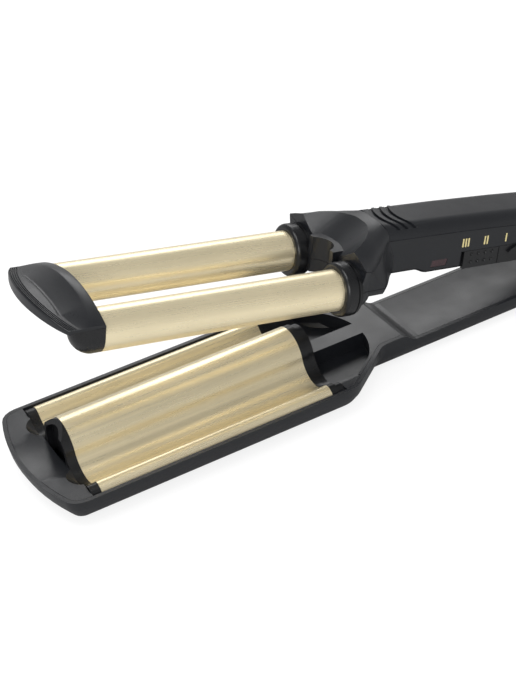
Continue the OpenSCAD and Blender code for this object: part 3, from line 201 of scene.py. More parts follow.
class Shader:
    """The node tree of a material or a world, in which values are Wires"""

    def __init__(self, owner):
        owner.use_nodes = True
        self.owner, self.tree = owner, owner.node_tree
        self.tree.nodes.clear()
        self.places = {}

    def add(self, kind, settings=None, inputs=None, output=0):
        """Adds one node, its settings first, then the values or Wires of its sockets; returns one output"""
        node = self.tree.nodes.new(kind)
        for key, value in (settings or {}).items():
            setattr(node, key, value)
        for key, value in (inputs or {}).items():
            socket = node.inputs[key]
            if isinstance(value, Wire):
                self.tree.links.new(value.socket, socket)
            else:
                socket.default_value = value
        return Wire(self, node.outputs[output])

    def place(self, scale=(1, 1, 1), turn=0.0):
        """Object coordinates, turned about Y by the angle and scaled"""
        key = (scale, turn)
        if key not in self.places:
            here = self.add("ShaderNodeTexCoord", output="Object")
            if turn:
                here = self.add("ShaderNodeMapping", inputs={"Vector": here, "Rotation": (0, turn, 0)})
            self.places[key] = self.add("ShaderNodeMapping", inputs={"Vector": here, "Scale": scale})
        return self.places[key]

    def noise(self, size, scale=(1, 1, 1), turn=0.0, detail=2.0, roughness=0.5):
        """Noise with features of the given size in metres"""
        return self.add("ShaderNodeTexNoise", None, {
            "Vector": self.place(scale, turn), "Scale": 1 / size,
            "Detail": detail, "Roughness": roughness}, output="Fac")

    def ramp(self, value, low, high, to_low=0.0, to_high=1.0):
        """Maps low..high of a value to to_low..to_high"""
        return self.add("ShaderNodeMapRange", None, {
            "Value": value, "From Min": low, "From Max": high, "To Min": to_low, "To Max": to_high})

    def blend(self, share, first, second):
        """A colour between two colours: a Mix node has them at inputs 6 and 7, and the result at output 2"""
        return self.add("ShaderNodeMix", {"data_type": "RGBA"}, {0: share, 6: first, 7: second}, output=2)

    def bump(self, height, strength, distance, after=None):
        """A normal that follows a height, whose 1 is the distance in metres, on top of another normal"""
        inputs = {"Height": height, "Strength": strength, "Distance": distance}
        if after is not None:
            inputs["Normal"] = after
        return self.add("ShaderNodeBump", None, inputs)

    def end(self, surface, kind="ShaderNodeOutputMaterial"):
        """Ends the tree in a surface"""
        self.tree.links.new(surface.socket, self.tree.nodes.new(kind).inputs["Surface"])
        return self.owner

    def finish(self, **inputs):
        """Ends the tree in a Principled surface: the keys are its sockets, with _ for a space"""
        named = {key.replace("_", " "): value for key, value in inputs.items()}
        return self.end(self.add("ShaderNodeBsdfPrincipled", None, named))


def light_path(shader, *kinds):
    """What the Light Path node says of a ray, one Wire for each kind"""
    path = shader.tree.nodes.new("ShaderNodeLightPath")
    return [Wire(shader, path.outputs[kind]) for kind in kinds]


def rgba(colour, factor=1.0):
    return tuple(min(1.0, c * factor) for c in colour) + (1.0,)


WHITE, BLACK = rgba((1, 1, 1)), rgba((0, 0, 0))
MICA = rgba((0.93, 0.87, 0.74))
DUST = rgba((0.62, 0.42, 0.38))
MADE = {}


def once(name, make):
    """Makes a material the first time that it is asked for"""
    if name not in MADE:
        MADE[name] = make(name)
    return MADE[name]


def satin_plastic(name, colour, roughness, grain, grain_depth=0.000018):
    """Moulded plastic with a spark-eroded grain, faint flow clouds and patches that were handled smoother"""
    s = Shader(bpy.data.materials.new(name))
    fine = s.noise(grain, detail=3.0, roughness=0.6)
    clouds = s.noise(0.028, detail=3.0)
    handled = s.noise(0.011)
    tone = s.blend(s.ramp(clouds, 0.35, 0.65), rgba(colour, 0.93), rgba(colour, 1.08))
    speck = s.blend(s.ramp(fine, 0.40, 0.70, 0.0, 0.30), tone, rgba(colour, 1.7))
    worn = s.ramp(handled, 0.35, 0.65, roughness - 0.025, roughness + 0.03)
    rough = worn + s.ramp(fine, 0.3, 0.7, -0.03, 0.05)
    return s.finish(Base_Color=speck, Roughness=rough, Normal=s.bump(fine, 0.5, grain_depth))


def champagne_coat(name, colour, roughness, turn, line_and_reflection_banding):
    """Ceramic coat on drawn metal: faint lines along the part, an orange-peel haze and fine mica specks, and
    darker streaks along the part that are painted reflection of long lamps, set by the banding share together
    with how dark the drawn lines go
    """
    s = Shader(bpy.data.materials.new(name))
    drawn = s.noise(0.0007, scale=(0.02, 1, 1), turn=turn, detail=4.0, roughness=0.62)
    reflection_streaks = s.noise(0.0034, scale=(0.012, 1, 1), turn=turn)
    haze = s.noise(0.013, scale=(0.5, 1, 1), turn=turn)
    mica = s.noise(0.00022, detail=1.0)
    peel = s.noise(0.0016)
    tone = s.blend(s.ramp(haze, 0.35, 0.65), rgba(colour, 0.965), rgba(colour, 1.02))
    # painted reflection: darker streaks along the part stand in for reflected long lamps, strongest on the
    # plate
    reflection_banded = s.blend(s.ramp(reflection_streaks, 0.42, 0.60, 0.0, line_and_reflection_banding), tone, rgba(colour, 0.70))
    # the metal's own drawn lines, darkened by the same share
    lined = s.blend(s.ramp(drawn, 0.38, 0.66, 0.0, 0.5 * line_and_reflection_banding), reflection_banded, rgba(colour, 0.72))
    specked = s.blend(s.ramp(mica, 0.58, 0.74, 0.0, 0.45), lined, MICA)
    rough = s.ramp(drawn, 0.3, 0.7, roughness - 0.04, roughness + 0.05) + s.ramp(mica, 0.5, 0.75, 0.0, 0.05)
    normal = s.bump(drawn, 0.22, 0.000012, after=s.bump(peel, 0.18, 0.00003))
    return s.finish(Base_Color=specked, Metallic=0.74, Roughness=rough, Normal=normal)


def bare_metal(name, colour, roughness, line_scale=(0.03, 1, 1)):
    """Bright metal with drawn lines and a little tarnish"""
    s = Shader(bpy.data.materials.new(name))
    lines = s.noise(0.0005, scale=line_scale, detail=3.0)
    stain = s.noise(0.006, detail=3.0)
    tone = s.blend(s.ramp(stain, 0.35, 0.7), rgba(colour), rgba(colour, 0.78))
    rough = s.ramp(lines, 0.3, 0.7, roughness - 0.08, roughness + 0.08)
    return s.finish(Base_Color=tone, Metallic=1.0, Roughness=rough, Normal=s.bump(lines, 0.3, 0.00001))


def fired_stone(name, colour):
    """Fired ceramic of the heaters: chalky, with pores, and painted shade that darkens the colour in the
    pores
    """
    s = Shader(bpy.data.materials.new(name))
    pore_size = 0.0006
    pores = s.add("ShaderNodeTexVoronoi", None, {
        "Vector": s.place(), "Scale": 1 / pore_size}, output="Distance")
    chalk = s.noise(0.004, detail=4.0)
    tone = s.blend(s.ramp(chalk, 0.3, 0.7), rgba(colour, 0.88), rgba(colour, 1.04))
    # painted shade: the colour darkens in the pores
    pore_shaded = s.blend(s.ramp(pores, 0.05, 0.25, 0.5, 0.0), tone, rgba(colour, 0.55))
    return s.finish(Base_Color=pore_shaded, Roughness=s.ramp(chalk, 0.3, 0.7, 0.75, 0.88),
                    Normal=s.bump(pores, 0.3, 0.00004))


def lead_sleeve(name, colour):
    """Silicone sleeve of the leads, slightly dusty"""
    s = Shader(bpy.data.materials.new(name))
    dust = s.noise(0.0018, detail=3.0)
    tone = s.blend(s.ramp(dust, 0.45, 0.75, 0.0, 0.35), rgba(colour), DUST)
    return s.finish(Base_Color=tone, Roughness=s.ramp(dust, 0.3, 0.7, 0.42, 0.6),
                    Normal=s.bump(dust, 0.2, 0.00004))


def circuit_board(name, colour):
    """Solder mask with copper runs that show through it"""
    s = Shader(bpy.data.materials.new(name))
    runs = s.add("ShaderNodeTexBrick", {"offset": 0.37, "squash": 1.0}, {
        "Vector": s.place(), "Scale": 160.0, "Mortar Size": 0.05, "Brick Width": 0.9, "Row Height": 0.28},
        output="Fac")
    haze = s.noise(0.003)
    tone = s.blend(s.ramp(haze, 0.3, 0.7), rgba(colour, 0.85), rgba(colour, 1.1))
    mask = s.blend(runs * 0.55, tone, rgba(colour, 1.9))
    return s.finish(Base_Color=mask, Roughness=s.ramp(haze, 0.3, 0.7, 0.28, 0.4),
                    Normal=s.bump(runs, 0.3, 0.00004))


def window_plastic(name, colour):
    """Glossy red plastic with faint moulded ribs; on the window its dark colour is partly the plastic's own
    red and partly painted shade of a dark well behind it, darker and lighter in patches
    """
    s = Shader(bpy.data.materials.new(name))
    ribs = s.add("ShaderNodeTexWave", {"wave_type": "BANDS", "bands_direction": "X"}, {
        "Vector": s.place(turn=-OPEN_ANGLE), "Scale": 260.0}, output="Fac")
    well_shade_noise = s.noise(0.0035)
    # painted shade of the well behind the window: the red darkens and lightens in patches
    tone = s.blend(s.ramp(well_shade_noise, 0.3, 0.7), rgba(colour, 0.7), rgba(colour, 1.25))
    return s.finish(Base_Color=tone, Roughness=s.ramp(well_shade_noise, 0.3, 0.7, 0.12, 0.2),
                    Normal=s.bump(ribs, 0.15, 0.00003), Coat_Weight=0.6, Coat_Roughness=0.08)


def gold_print(name, colour):
    """Pad-printed ink with a slightly uneven edge of pigment"""
    s = Shader(bpy.data.materials.new(name))
    pigment = s.noise(0.0003)
    tone = s.blend(s.ramp(pigment, 0.35, 0.65), rgba(colour, 0.88), rgba(colour, 1.08))
    return s.finish(Base_Color=tone, Metallic=0.35, Roughness=s.ramp(pigment, 0.3, 0.7, 0.34, 0.5),
                    Normal=s.bump(pigment, 0.3, 0.00001))


def finish_settings():
    return bpy.context.scene.waver_finish


def casing_plastic(name, colour, gloss=0.0, grain=1.0, **how):
    """A satin plastic: its gloss comes off the common roughness, its grain is a share of the common grain"""
    f = finish_settings()
    return once(name, lambda n: satin_plastic(
        n, colour, f.plastic_roughness - gloss, grain * f.grain_size, **how))


def shell_plastic():
    return casing_plastic("casing charcoal", finish_settings().shell_colour)


def cover_plastic():
    return casing_plastic("cover charcoal", finish_settings().cover_colour, gloss=0.02)


def dark_plastic():
    return casing_plastic("heat-proof black", finish_settings().dark_colour, gloss=0.04, grain=0.8,
                          grain_depth=0.000012)


# the barrels' coat has faint painted reflection streaks
def barrel_coat():
    f = finish_settings()
    return once("champagne coat of the barrels", lambda n: champagne_coat(
        n, f.coat_colour, f.coat_roughness, turn=-OPEN_ANGLE, line_and_reflection_banding=0.12))


# the plate's coat has strong painted reflection streaks along its waves
def plate_coat():
    f = finish_settings()
    return once("champagne coat of the plate", lambda n: champagne_coat(
        n, f.coat_colour, f.coat_roughness, turn=0.0, line_and_reflection_banding=0.55))


def steel():
    return once("zinc-plated steel", lambda n: bare_metal(n, (0.55, 0.56, 0.58), 0.34))


# ---------------------------------------------------------------- mesh helpers

def new_piece(name, mesh, body, node, material=None):
    """Puts a finished mesh in the scene, on its body and in place of its CAD node"""
    obj = bpy.data.objects.new(name, mesh)
    bpy.context.scene.collection.objects.link(obj)
    if material is not None:
        mesh.materials.append(material)
    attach(obj, body)
    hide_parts(node)


def finished(mesh, set_up):
    """A mesh put through the modifiers that set_up adds to an object that holds it"""
    obj = bpy.data.objects.new("workpiece", mesh)
    bpy.context.scene.collection.objects.link(obj)
    set_up(obj)
    graph = bpy.context.evaluated_depsgraph_get()
    graph.update()
    made = bpy.data.meshes.new_from_object(
        obj.evaluated_get(graph), preserve_all_data_layers=True, depsgraph=graph)
    bpy.data.objects.remove(obj)
    return made


def smooth(mesh, angle):
    """Smooth shading with sharp edges above an angle in degrees"""
    mesh.shade_smooth()
    mesh.set_sharp_from_angle(angle=math.radians(angle))


def even_shading(obj):
    """Turns the shading of rounded edges over to the large faces beside them"""
    obj.modifiers.new("even shading", "WEIGHTED_NORMAL").keep_sharp = True


def cut_off(bm, point, normal):
    """Cuts away what lies past a plane, on the side of its normal, and closes the cut"""
    made = bmesh.ops.bisect_plane(bm, geom=bm.verts[:] + bm.edges[:] + bm.faces[:], plane_co=point,
                                  plane_no=normal, clear_outer=True, dist=MERGE)
    bmesh.ops.holes_fill(bm, edges=[e for e in made["geom_cut"] if isinstance(e, bmesh.types.BMEdge)])
    bmesh.ops.triangulate(bm, faces=[f for f in bm.faces if len(f.verts) > 4])


def dressed_copy(node, angle, bevel=0.0, cut=None):
    """A copy of a CAD node's mesh: its triangles merged, its edges rounded by the bevel, its shading smooth
    up to the angle, and what lies past the cut, a point and a normal, left out"""
    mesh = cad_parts[node].data.copy()
    mesh.materials.clear()
    for name in [a.name for a in mesh.attributes if a.name.startswith("custom_normal")]:
        mesh.attributes.remove(mesh.attributes[name])
    bm = bmesh.new()
    bm.from_mesh(mesh)
    bmesh.ops.remove_doubles(bm, verts=bm.verts, dist=MERGE)
    bmesh.ops.dissolve_degenerate(bm, edges=bm.edges, dist=MERGE)
    if cut:
        cut_off(bm, *cut)
    if bevel:
        bmesh.ops.dissolve_limit(bm, angle_limit=math.radians(FLAT), verts=bm.verts, edges=bm.edges)
    bm.to_mesh(mesh)
    bm.free()
    smooth(mesh, angle)

    def modifiers(obj):
        if bevel:
            m = obj.modifiers.new("rounded edges", "BEVEL")
            m.width, m.segments = bevel, 2
            m.limit_method, m.angle_limit = "ANGLE", math.radians(angle)
            m.miter_outer = "MITER_ARC"
        even_shading(obj)

    return finished(mesh, modifiers)


def dress(node, name, body, slot, material, **how):
    """Puts a dressed copy of a CAD node in its place"""
    new_piece(name, dressed_copy(node, **how), body, node, material)


def keep_node(node, material):
    """Leaves a CAD node in place and gives it its finish"""
    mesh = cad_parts[node].data
    mesh.materials.clear()
    mesh.materials.append(material)


def points_mesh(name, points, edges=()):
    """Points in millimetres as a mesh, for a tree to grow on"""
    mesh = bpy.data.meshes.new(name)
    mesh.from_pydata([Vector(p) * MM for p in points], edges, [])
    return mesh


def lofted(name, rings):
    """A closed solid skinned through rings of points in millimetres, with flat ends"""
    count, size = len(rings), len(rings[0])
    faces = [(i * size + j, i * size + (j + 1) % size, (i + 1) * size + (j + 1) % size, (i + 1) * size + j)
             for i in range(count - 1) for j in range(size)]
    faces += [tuple(range(size - 1, -1, -1)), tuple((count - 1) * size + j for j in range(size))]
    mesh = bpy.data.meshes.new(name)
    mesh.from_pydata([Vector(p) * MM for ring in rings for p in ring], [], faces)
    bm = bmesh.new()
    bm.from_mesh(mesh)
    bmesh.ops.remove_doubles(bm, verts=bm.verts, dist=MERGE / 4)
    bmesh.ops.recalc_face_normals(bm, faces=bm.faces)
    bmesh.ops.triangulate(bm, faces=[f for f in bm.faces if len(f.verts) > 4])
    bm.to_mesh(mesh)
    bm.free()
    return mesh


# ---------------------------------------------------------------- geometry nodes

class Grower:
    """A Geometry Nodes tree with named inputs"""

    def __init__(self, name):
        self.tree = bpy.data.node_groups.new(name, "GeometryNodeTree")
        self.tree.interface.new_socket("Geometry", in_out="INPUT", socket_type="NodeSocketGeometry")
        self.tree.interface.new_socket("Geometry", in_out="OUTPUT", socket_type="NodeSocketGeometry")
        self.source = self.tree.nodes.new("NodeGroupInput")
        self.end = self.tree.nodes.new("NodeGroupOutput")

    def ask(self, name, kind="NodeSocketFloat"):
        """Adds a named input and returns its socket"""
        self.tree.interface.new_socket(name, in_out="INPUT", socket_type=kind)
        return self.source.outputs[name]

    def add(self, kind, settings=None, inputs=None):
        """Adds one node: its settings, then for each input a value, a socket or a list of sockets"""
        node = self.tree.nodes.new(kind)
        for key, value in (settings or {}).items():
            setattr(node, key, value)
        for key, value in (inputs or {}).items():
            socket = node.inputs[key]
            if isinstance(value, bpy.types.NodeSocket):
                value = [value]
            if isinstance(value, list):
                for link in value:
                    self.tree.links.new(link, socket)
            else:
                socket.default_value = value
        return node.outputs[0]

    def maths(self, operation, a, b):
        return self.add("ShaderNodeMath", {"operation": operation}, {0: a, 1: b})

    def close(self, geometry, material):
        """Ends the tree: instances made real, with the material set"""
        real = self.add("GeometryNodeRealizeInstances", None, {"Geometry": geometry})
        coated = self.add("GeometryNodeSetMaterial", None, {"Geometry": real, "Material": material})
        self.tree.links.new(coated, self.end.inputs["Geometry"])

    def close_on_points(self, piece, material):
        """Ends the tree with the piece on each point of the mesh that the tree runs on"""
        many = self.add("GeometryNodeInstanceOnPoints", None, {
            "Points": self.source.outputs["Geometry"], "Instance": piece})
        self.close(many, material)

    def grow(self, mesh, values):
        """Runs the tree on a mesh with its inputs set by identifier, and returns the mesh that comes out"""
        ids = {i.name: i.identifier for i in self.tree.interface.items_tree
               if i.item_type == "SOCKET" and i.in_out == "INPUT"}

        def modifiers(obj):
            m = obj.modifiers.new("grown", "NODES")
            m.node_group = self.tree
            for name, value in values.items():
                m[ids[name]] = value

        return finished(mesh, modifiers)


def bars_tree():
    """Rounded bars of print, one on each point"""
    g = Grower("setting bars")
    height, width, thickness = g.ask("Bar height"), g.ask("Bar width"), g.ask("Bar thickness")
    corner, material = g.ask("Bar corner"), g.ask("Material", "NodeSocketMaterial")
    outline = g.add("GeometryNodeCurvePrimitiveQuadrilateral", None, {"Width": width, "Height": height})
    rounded = g.add("GeometryNodeFilletCurve", {"mode": "POLY"}, {
        "Curve": outline, "Count": 5, "Radius": corner})
    face = g.add("GeometryNodeFillCurve", {"mode": "TRIANGLES"}, {"Curve": rounded})
    solid = g.add("GeometryNodeExtrudeMesh", {"mode": "FACES"}, {
        "Mesh": face, "Offset Scale": thickness, "Individual": False})
    back = g.add("GeometryNodeFlipFaces", None, {"Mesh": face})
    closed = g.add("GeometryNodeJoinGeometry", None, {"Geometry": [solid, back]})
    joined = g.add("GeometryNodeMergeByDistance", None, {"Geometry": closed, "Distance": MERGE})
    upright = g.add("GeometryNodeTransform", None, {"Geometry": joined, "Rotation": (math.pi / 2, 0, 0)})
    g.close_on_points(upright, material)
    return g


def wire_tree():
    """Round wire along a line of points"""
    g = Grower("wound wire")
    radius, sides = g.ask("Wire radius"), g.ask("Sides", "NodeSocketInt")
    material = g.ask("Material", "NodeSocketMaterial")
    line = g.add("GeometryNodeMeshToCurve", None, {"Mesh": g.source.outputs["Geometry"]})
    ring = g.add("GeometryNodeCurvePrimitiveCircle", {"mode": "RADIUS"}, {
        "Resolution": sides, "Radius": radius})
    wire = g.add("GeometryNodeCurveToMesh", None, {"Curve": line, "Profile Curve": ring, "Fill Caps": True})
    g.close(wire, material)
    return g


def screws_tree():
    """Cross-recessed screws with a rolled thread, one on each point, heads down"""
    g = Grower("casing screws")
    head_r, head_h = g.ask("Head radius"), g.ask("Head height")
    core_r, thread_r, pitch = g.ask("Core radius"), g.ask("Thread radius"), g.ask("Thread pitch")
    cross_w, cross_d, length = g.ask("Recess width"), g.ask("Recess depth"), g.ask("Length")
    material = g.ask("Material", "NodeSocketMaterial")

    def lift(z):
        return g.add("ShaderNodeCombineXYZ", None, {"Z": z})

    def turned(first_radius, last_radius, length, at, sides):
        """A cylinder or cone that starts at a height"""
        cone = g.add("GeometryNodeMeshCone", {"fill_type": "NGON"}, {
            "Vertices": sides, "Radius Top": first_radius, "Radius Bottom": last_radius, "Depth": length})
        return g.add("GeometryNodeTransform", None, {"Geometry": cone, "Translation": lift(at)})

    def solid(operation, **meshes):
        named = {key.replace("_", " "): value for key, value in meshes.items()}
        return g.add("GeometryNodeMeshBoolean", {"operation": operation, "solver": "EXACT"}, named)

    # shares of the head's radius, of its height, of the recess's width and of the shank's radius
    face_share, chamfer_share, arm_share, point_share, point_end_share = 0.84, 0.3, 0.22, 1.6, 0.25
    head_sides, shank_sides = 36, 24
    chamfer = g.maths("MULTIPLY", head_h, chamfer_share)
    crown = turned(head_r, g.maths("MULTIPLY", head_r, face_share), chamfer, 0.0, head_sides)
    body = turned(head_r, head_r, g.maths("SUBTRACT", head_h, chamfer), chamfer, head_sides)
    arm_w, arm_h = g.maths("MULTIPLY", cross_w, arm_share), g.maths("MULTIPLY", cross_d, 2.0)
    arms = [g.add("GeometryNodeMeshCube", None, {
        "Size": g.add("ShaderNodeCombineXYZ", None, {along: cross_w, across: arm_w, "Z": arm_h})})
        for along, across in ("XY", "YX")]
    blank, recess = solid("UNION", Mesh_2=[crown, body]), solid("UNION", Mesh_2=arms)
    head = solid("DIFFERENCE", Mesh_1=blank, Mesh_2=recess)
    point_l = g.maths("MULTIPLY", core_r, point_share)
    shank_l = g.maths("SUBTRACT", g.maths("SUBTRACT", length, head_h), point_l)
    shank = turned(core_r, core_r, shank_l, head_h, shank_sides)
    point_end_r = g.maths("MULTIPLY", core_r, point_end_share)
    point = turned(point_end_r, core_r, point_l, g.maths("ADD", head_h, shank_l), shank_sides)
    helix = g.add("GeometryNodeCurveSpiral", None, {
        "Resolution": 20, "Rotations": g.maths("DIVIDE", shank_l, pitch), "Start Radius": core_r,
        "End Radius": core_r, "Height": shank_l})
    lifted = g.add("GeometryNodeTransform", None, {"Geometry": helix, "Translation": lift(head_h)})
    profile = g.add("GeometryNodeCurvePrimitiveCircle", {"mode": "RADIUS"}, {
        "Resolution": 3, "Radius": g.maths("SUBTRACT", thread_r, core_r)})
    thread = g.add("GeometryNodeCurveToMesh", None, {
        "Curve": lifted, "Profile Curve": profile, "Fill Caps": True})
    screw = g.add("GeometryNodeJoinGeometry", None, {"Geometry": [head, shank, point, thread]})
    g.close_on_points(screw, material)
    return g


# ---------------------------------------------------------------- pieces

def smoothstep(a, b, x):
    t = min(1.0, max(0.0, (x - a) / (b - a)))
    return t * t * (3 - 2 * t)


def mix(a, b, t):
    return a + (b - a) * t


# The wave of the plate, in millimetres and in the upper arm's frame: the rest clears it when the arms shut
PITCH_HALF = 22.1
TROUGH_R = 10.3
RIDGE_H = 8.9
HAIR_GAP = 0.8
RIDGE_REACH = TROUGH_R + RIDGE_H
RIDGE_Z = (RIDGE_REACH ** 2 - PITCH_HALF ** 2) / (2 * RIDGE_REACH)
RIDGE_R = RIDGE_H - RIDGE_Z
PLATE_FRONT = -285.5
# The sloping end in front of the ridge: its length, its lap on the plate, its foot's drop and its head's rise
END_FRONT, END_LAP, END_DROP, END_RISE = 4.5, 0.2, 4.4, 0.3
# Gap between the rest and the ridge, how far past the sloping end it is kept, and what stands for no need
REST_GAP, PAST_END, NO_NEED = 1.02 * HAIR_GAP, 0.3, -99.0

# How far the lip, its ends and the crest draw back at the sides of the rest, in millimetres
LIP_SWEEP, LIP_END_SWEEP, CREST_SWEEP = 7.3, 0.8, 3.4
# How much lower the lip, the foot of its face, the pad and the crest are at the sides
LIP_SINK, LIP_FACE_SINK, PAD_SINK, CREST_SINK = 4.3, 1.4, 3.6, 7.0
# Width of the crest's band, run and drop from the lip to the pad, first groove's distance from the pad
CREST_BAND, PAD_RUN, PAD_DROP, GROOVE_INSET = 4.4, 4.3, 0.7, 0.45
# Length of the lip's rounded nose, and of its foot, which is measured from the middle of the lip
NOSE, FOOT_RUN = 0.5, 10.1
# Station at which the lower half of the tip ends
BASE_END = -290.8
# Rings across the rest, and rows along its scoop, its grooves and its underside
ACROSS, SCOOP_ROWS, GROOVE_ROWS, FLOOR_ROWS = 96, 22, 44, 26


def ridge_room(x, y, gap):
    """Height that the ridge of the plate and its sloping end need above the barrel axes, with a gap"""
    r = RIDGE_R + gap
    arch = RIDGE_Z + math.sqrt(max(0.0, r * r - y * y)) if abs(y) < r else NO_NEED
    foot_x, head_x = PLATE_FRONT - END_FRONT - gap, PLATE_FRONT + END_LAP
    slope = mix(RIDGE_H - END_DROP + gap, RIDGE_H + END_RISE + gap, (x - foot_x) / (head_x - foot_x))
    return NO_NEED if x < foot_x - PAST_END else min(arch, slope)


def rest_section(t, s):
    """Side view of the rest at t across it, from the rear face over the top to the lip and back underneath"""
    y = t * s.half_width
    front = s.rear - s.length
    lip_x, lip_z = front + LIP_SWEEP * t * t + LIP_END_SWEEP * t ** 8, s.lip - LIP_SINK * t * t
    lip_low = s.lip - s.lip_face - LIP_FACE_SINK * t * t
    crest_x, crest = s.rear - CREST_BAND - CREST_SWEEP * t ** 4, s.crest - CREST_SINK * t * t
    pad_x, pad = lip_x + PAD_RUN, s.lip - PAD_DROP - PAD_SINK * t * t
    scoop_x = max(crest_x - s.scoop_length, pad_x + 0.5)

    def floor(x):
        """The underside: the joint, or higher where the ridge needs room"""
        return max(s.joint, ridge_room(x, y, REST_GAP)) if x > front + FOOT_RUN + 0.5 else s.joint

    # rear face with a rounded edge, and the crest's band
    points = [(s.rear, floor(s.rear)), (s.rear, crest - 0.5),
              (s.rear - 0.18, crest - 0.16), (s.rear - 0.6, crest)]
    points += [(mix(s.rear - 0.6, crest_x, i / 4), crest + 0.12 * math.sin(math.pi * i / 4))
               for i in range(1, 4)]
    # scoop, which falls almost evenly from the crest to below the pad and then climbs to it
    dip = s.scoop_dip * max(0.0, 1 - abs(t) ** 3)
    for i in range(SCOOP_ROWS + 1):
        u = 1 - i / SCOOP_ROWS
        climb = (crest - pad + dip) * (s.scoop_slope * u + (1 - s.scoop_slope) * u ** 3)
        points.append((mix(scoop_x, crest_x, u), pad + climb - dip * smoothstep(0.0, 0.13, u)))
    points += [(mix(scoop_x, pad_x, i / 3), pad - 0.03 * math.sin(math.pi * i / 3)) for i in range(1, 3)]
    # grooves on the slope down to the lip
    run = pad_x - (lip_x + NOSE)
    for i in range(GROOVE_ROWS + 1):
        d = run * (1 - i / GROOVE_ROWS)
        z = mix(lip_z, pad, d / run)
        for k in range(s.groove_count):
            off = abs(d - (run - GROOVE_INSET - k * s.groove_pitch)) / (s.groove_width / 2)
            if off < 1:
                z -= s.groove_depth * math.sqrt(1 - off ** 4) * smoothstep(1.0, 0.955, abs(t))
        points.append((lip_x + NOSE + d, z))
    # rounded nose of the lip, its front face and its foot
    points += [(lip_x + 0.24, lip_z - 0.10), (lip_x + 0.06, lip_z - 0.3), (lip_x, lip_z - 0.62)]
    points += [(lip_x + 0.2 * i / 3, mix(lip_z - 0.62, lip_low + 0.35, i / 3)) for i in range(1, 4)]
    points += [(lip_x + 0.55, lip_low), (front + FOOT_RUN, min(s.joint, lip_low + 0.6)),
               (front + FOOT_RUN + 0.45, s.joint)]
    # underside
    stations = [mix(front + FOOT_RUN + 0.6, s.rear - 0.02, i / FLOOR_ROWS) for i in range(FLOOR_ROWS + 1)]
    points += [(x, floor(x)) for x in stations]
    return [(x, y, z) for x, z in points]


class WAVER_OT_tip_rest(bpy.types.Operator):
    """Builds the rest at the tip, with its grooved lip, its pad, its scoop and its crest"""
    bl_idname = "waver.tip_rest"
    bl_label = "Tip rest"

    def execute(self, context):
        even = [mix(-1, 1, i / ACROSS) for i in range(ACROSS + 1)]
        # a little closer together at the sides, where the lip and the crest bend most
        spread = [math.sin(math.pi / 2 * t) * 0.25 + t * 0.75 for t in even]
        mesh = lofted("tip rest", [rest_section(t, context.scene.waver_tip_rest) for t in spread])
        mesh.transform(UPPER_FRAME)
        smooth(mesh, 38)
        mesh = finished(mesh, even_shading)
        new_piece("tip_rest_cap", mesh, UPPER, "tip_rest", cover_plastic())
        # the lower half ends under the lip, so that no tongue shows below it
        past_lip = (UPPER_FRAME @ Vector((BASE_END * MM, 0, 0)), UPPER_FRAME.to_3x3() @ Vector((-1, 0, 0)))
        dress("tip_base", "tip_cap_base", UPPER, "dark_plastic", dark_plastic(), angle=40, cut=past_lip)
        return {"FINISHED"}


class WAVER_OT_lower_casing(bpy.types.Operator):
    """Dresses the tray, its cover and the ends of the plate"""
    bl_idname = "waver.lower_casing"
    bl_label = "Lower casing"

    def execute(self, context):
        shell, cover, dark = shell_plastic(), cover_plastic(), dark_plastic()
        dress("lower_shell", "tray_casing", LOWER, "shell_plastic", shell, angle=30, bevel=TRAY_BEVEL)
        dress("lower_cover", "tray_cover", LOWER, "cover_plastic", cover, angle=30, bevel=CASING_BEVEL)
        dress("plate_end_front", "plate_end_tip_side", LOWER, "dark_plastic", dark, angle=35)
        dress("plate_end_rear", "plate_end_hinge_side", LOWER, "dark_plastic", dark, angle=35)
        return {"FINISHED"}


class WAVER_OT_jaw_metal(bpy.types.Operator):
    """Dresses the coated barrels and the wave plate"""
    bl_idname = "waver.jaw_metal"
    bl_label = "Barrels and wave plate"

    def execute(self, context):
        dress("wave_plate", "coated_wave_plate", LOWER, "ceramic_coat", plate_coat(), angle=40)
        for side in ("near", "far"):
            dress("barrel_" + side, "coated_barrel_" + side, UPPER, "ceramic_coat", barrel_coat(), angle=40)
            dress("collar_" + side, "barrel_collar_" + side, UPPER, "dark_plastic", dark_plastic(), angle=45)
        return {"FINISHED"}


class WAVER_OT_upper_casing(bpy.types.Operator):
    """Dresses the head, the handle and the tail of the upper arm"""
    bl_idname = "waver.upper_casing"
    bl_label = "Upper casing"

    def execute(self, context):
        shell, cover = shell_plastic(), cover_plastic()
        dress("head_cap", "head_dome", UPPER, "cover_plastic", cover, angle=24)
        dress("head_sides", "head_flanks", UPPER, "shell_plastic", shell, angle=24)
        dress("head_bottom", "head_floor", UPPER, "shell_plastic", shell, angle=24)
        dress("handle_top", "handle_crown", UPPER, "cover_plastic", cover, angle=30, bevel=CASING_BEVEL)
        dress("handle_base", "handle_body", UPPER, "shell_plastic", shell, angle=30, bevel=CASING_BEVEL)
        dress("tail_cap", "handle_tail_cap", UPPER, "shell_plastic", shell, angle=35)
        return {"FINISHED"}


class WAVER_OT_switch(bpy.types.Operator):
    """Dresses the slide button, the window and the indicator behind it"""
    bl_idname = "waver.switch"
    bl_label = "Switch and window"

    def execute(self, context):
        colour = finish_settings().window_colour
        dress("slide_button", "thumb_slide", SLIDER, "dark_plastic", dark_plastic(), angle=35)
        dress("led_window", "indicator_window", UPPER, "led_red",
              once("window red", lambda n: window_plastic(n, colour)), angle=35)
        keep_node("power_led", once("indicator red", lambda n: window_plastic(n, (0.30, 0.02, 0.02))))
        return {"FINISHED"}


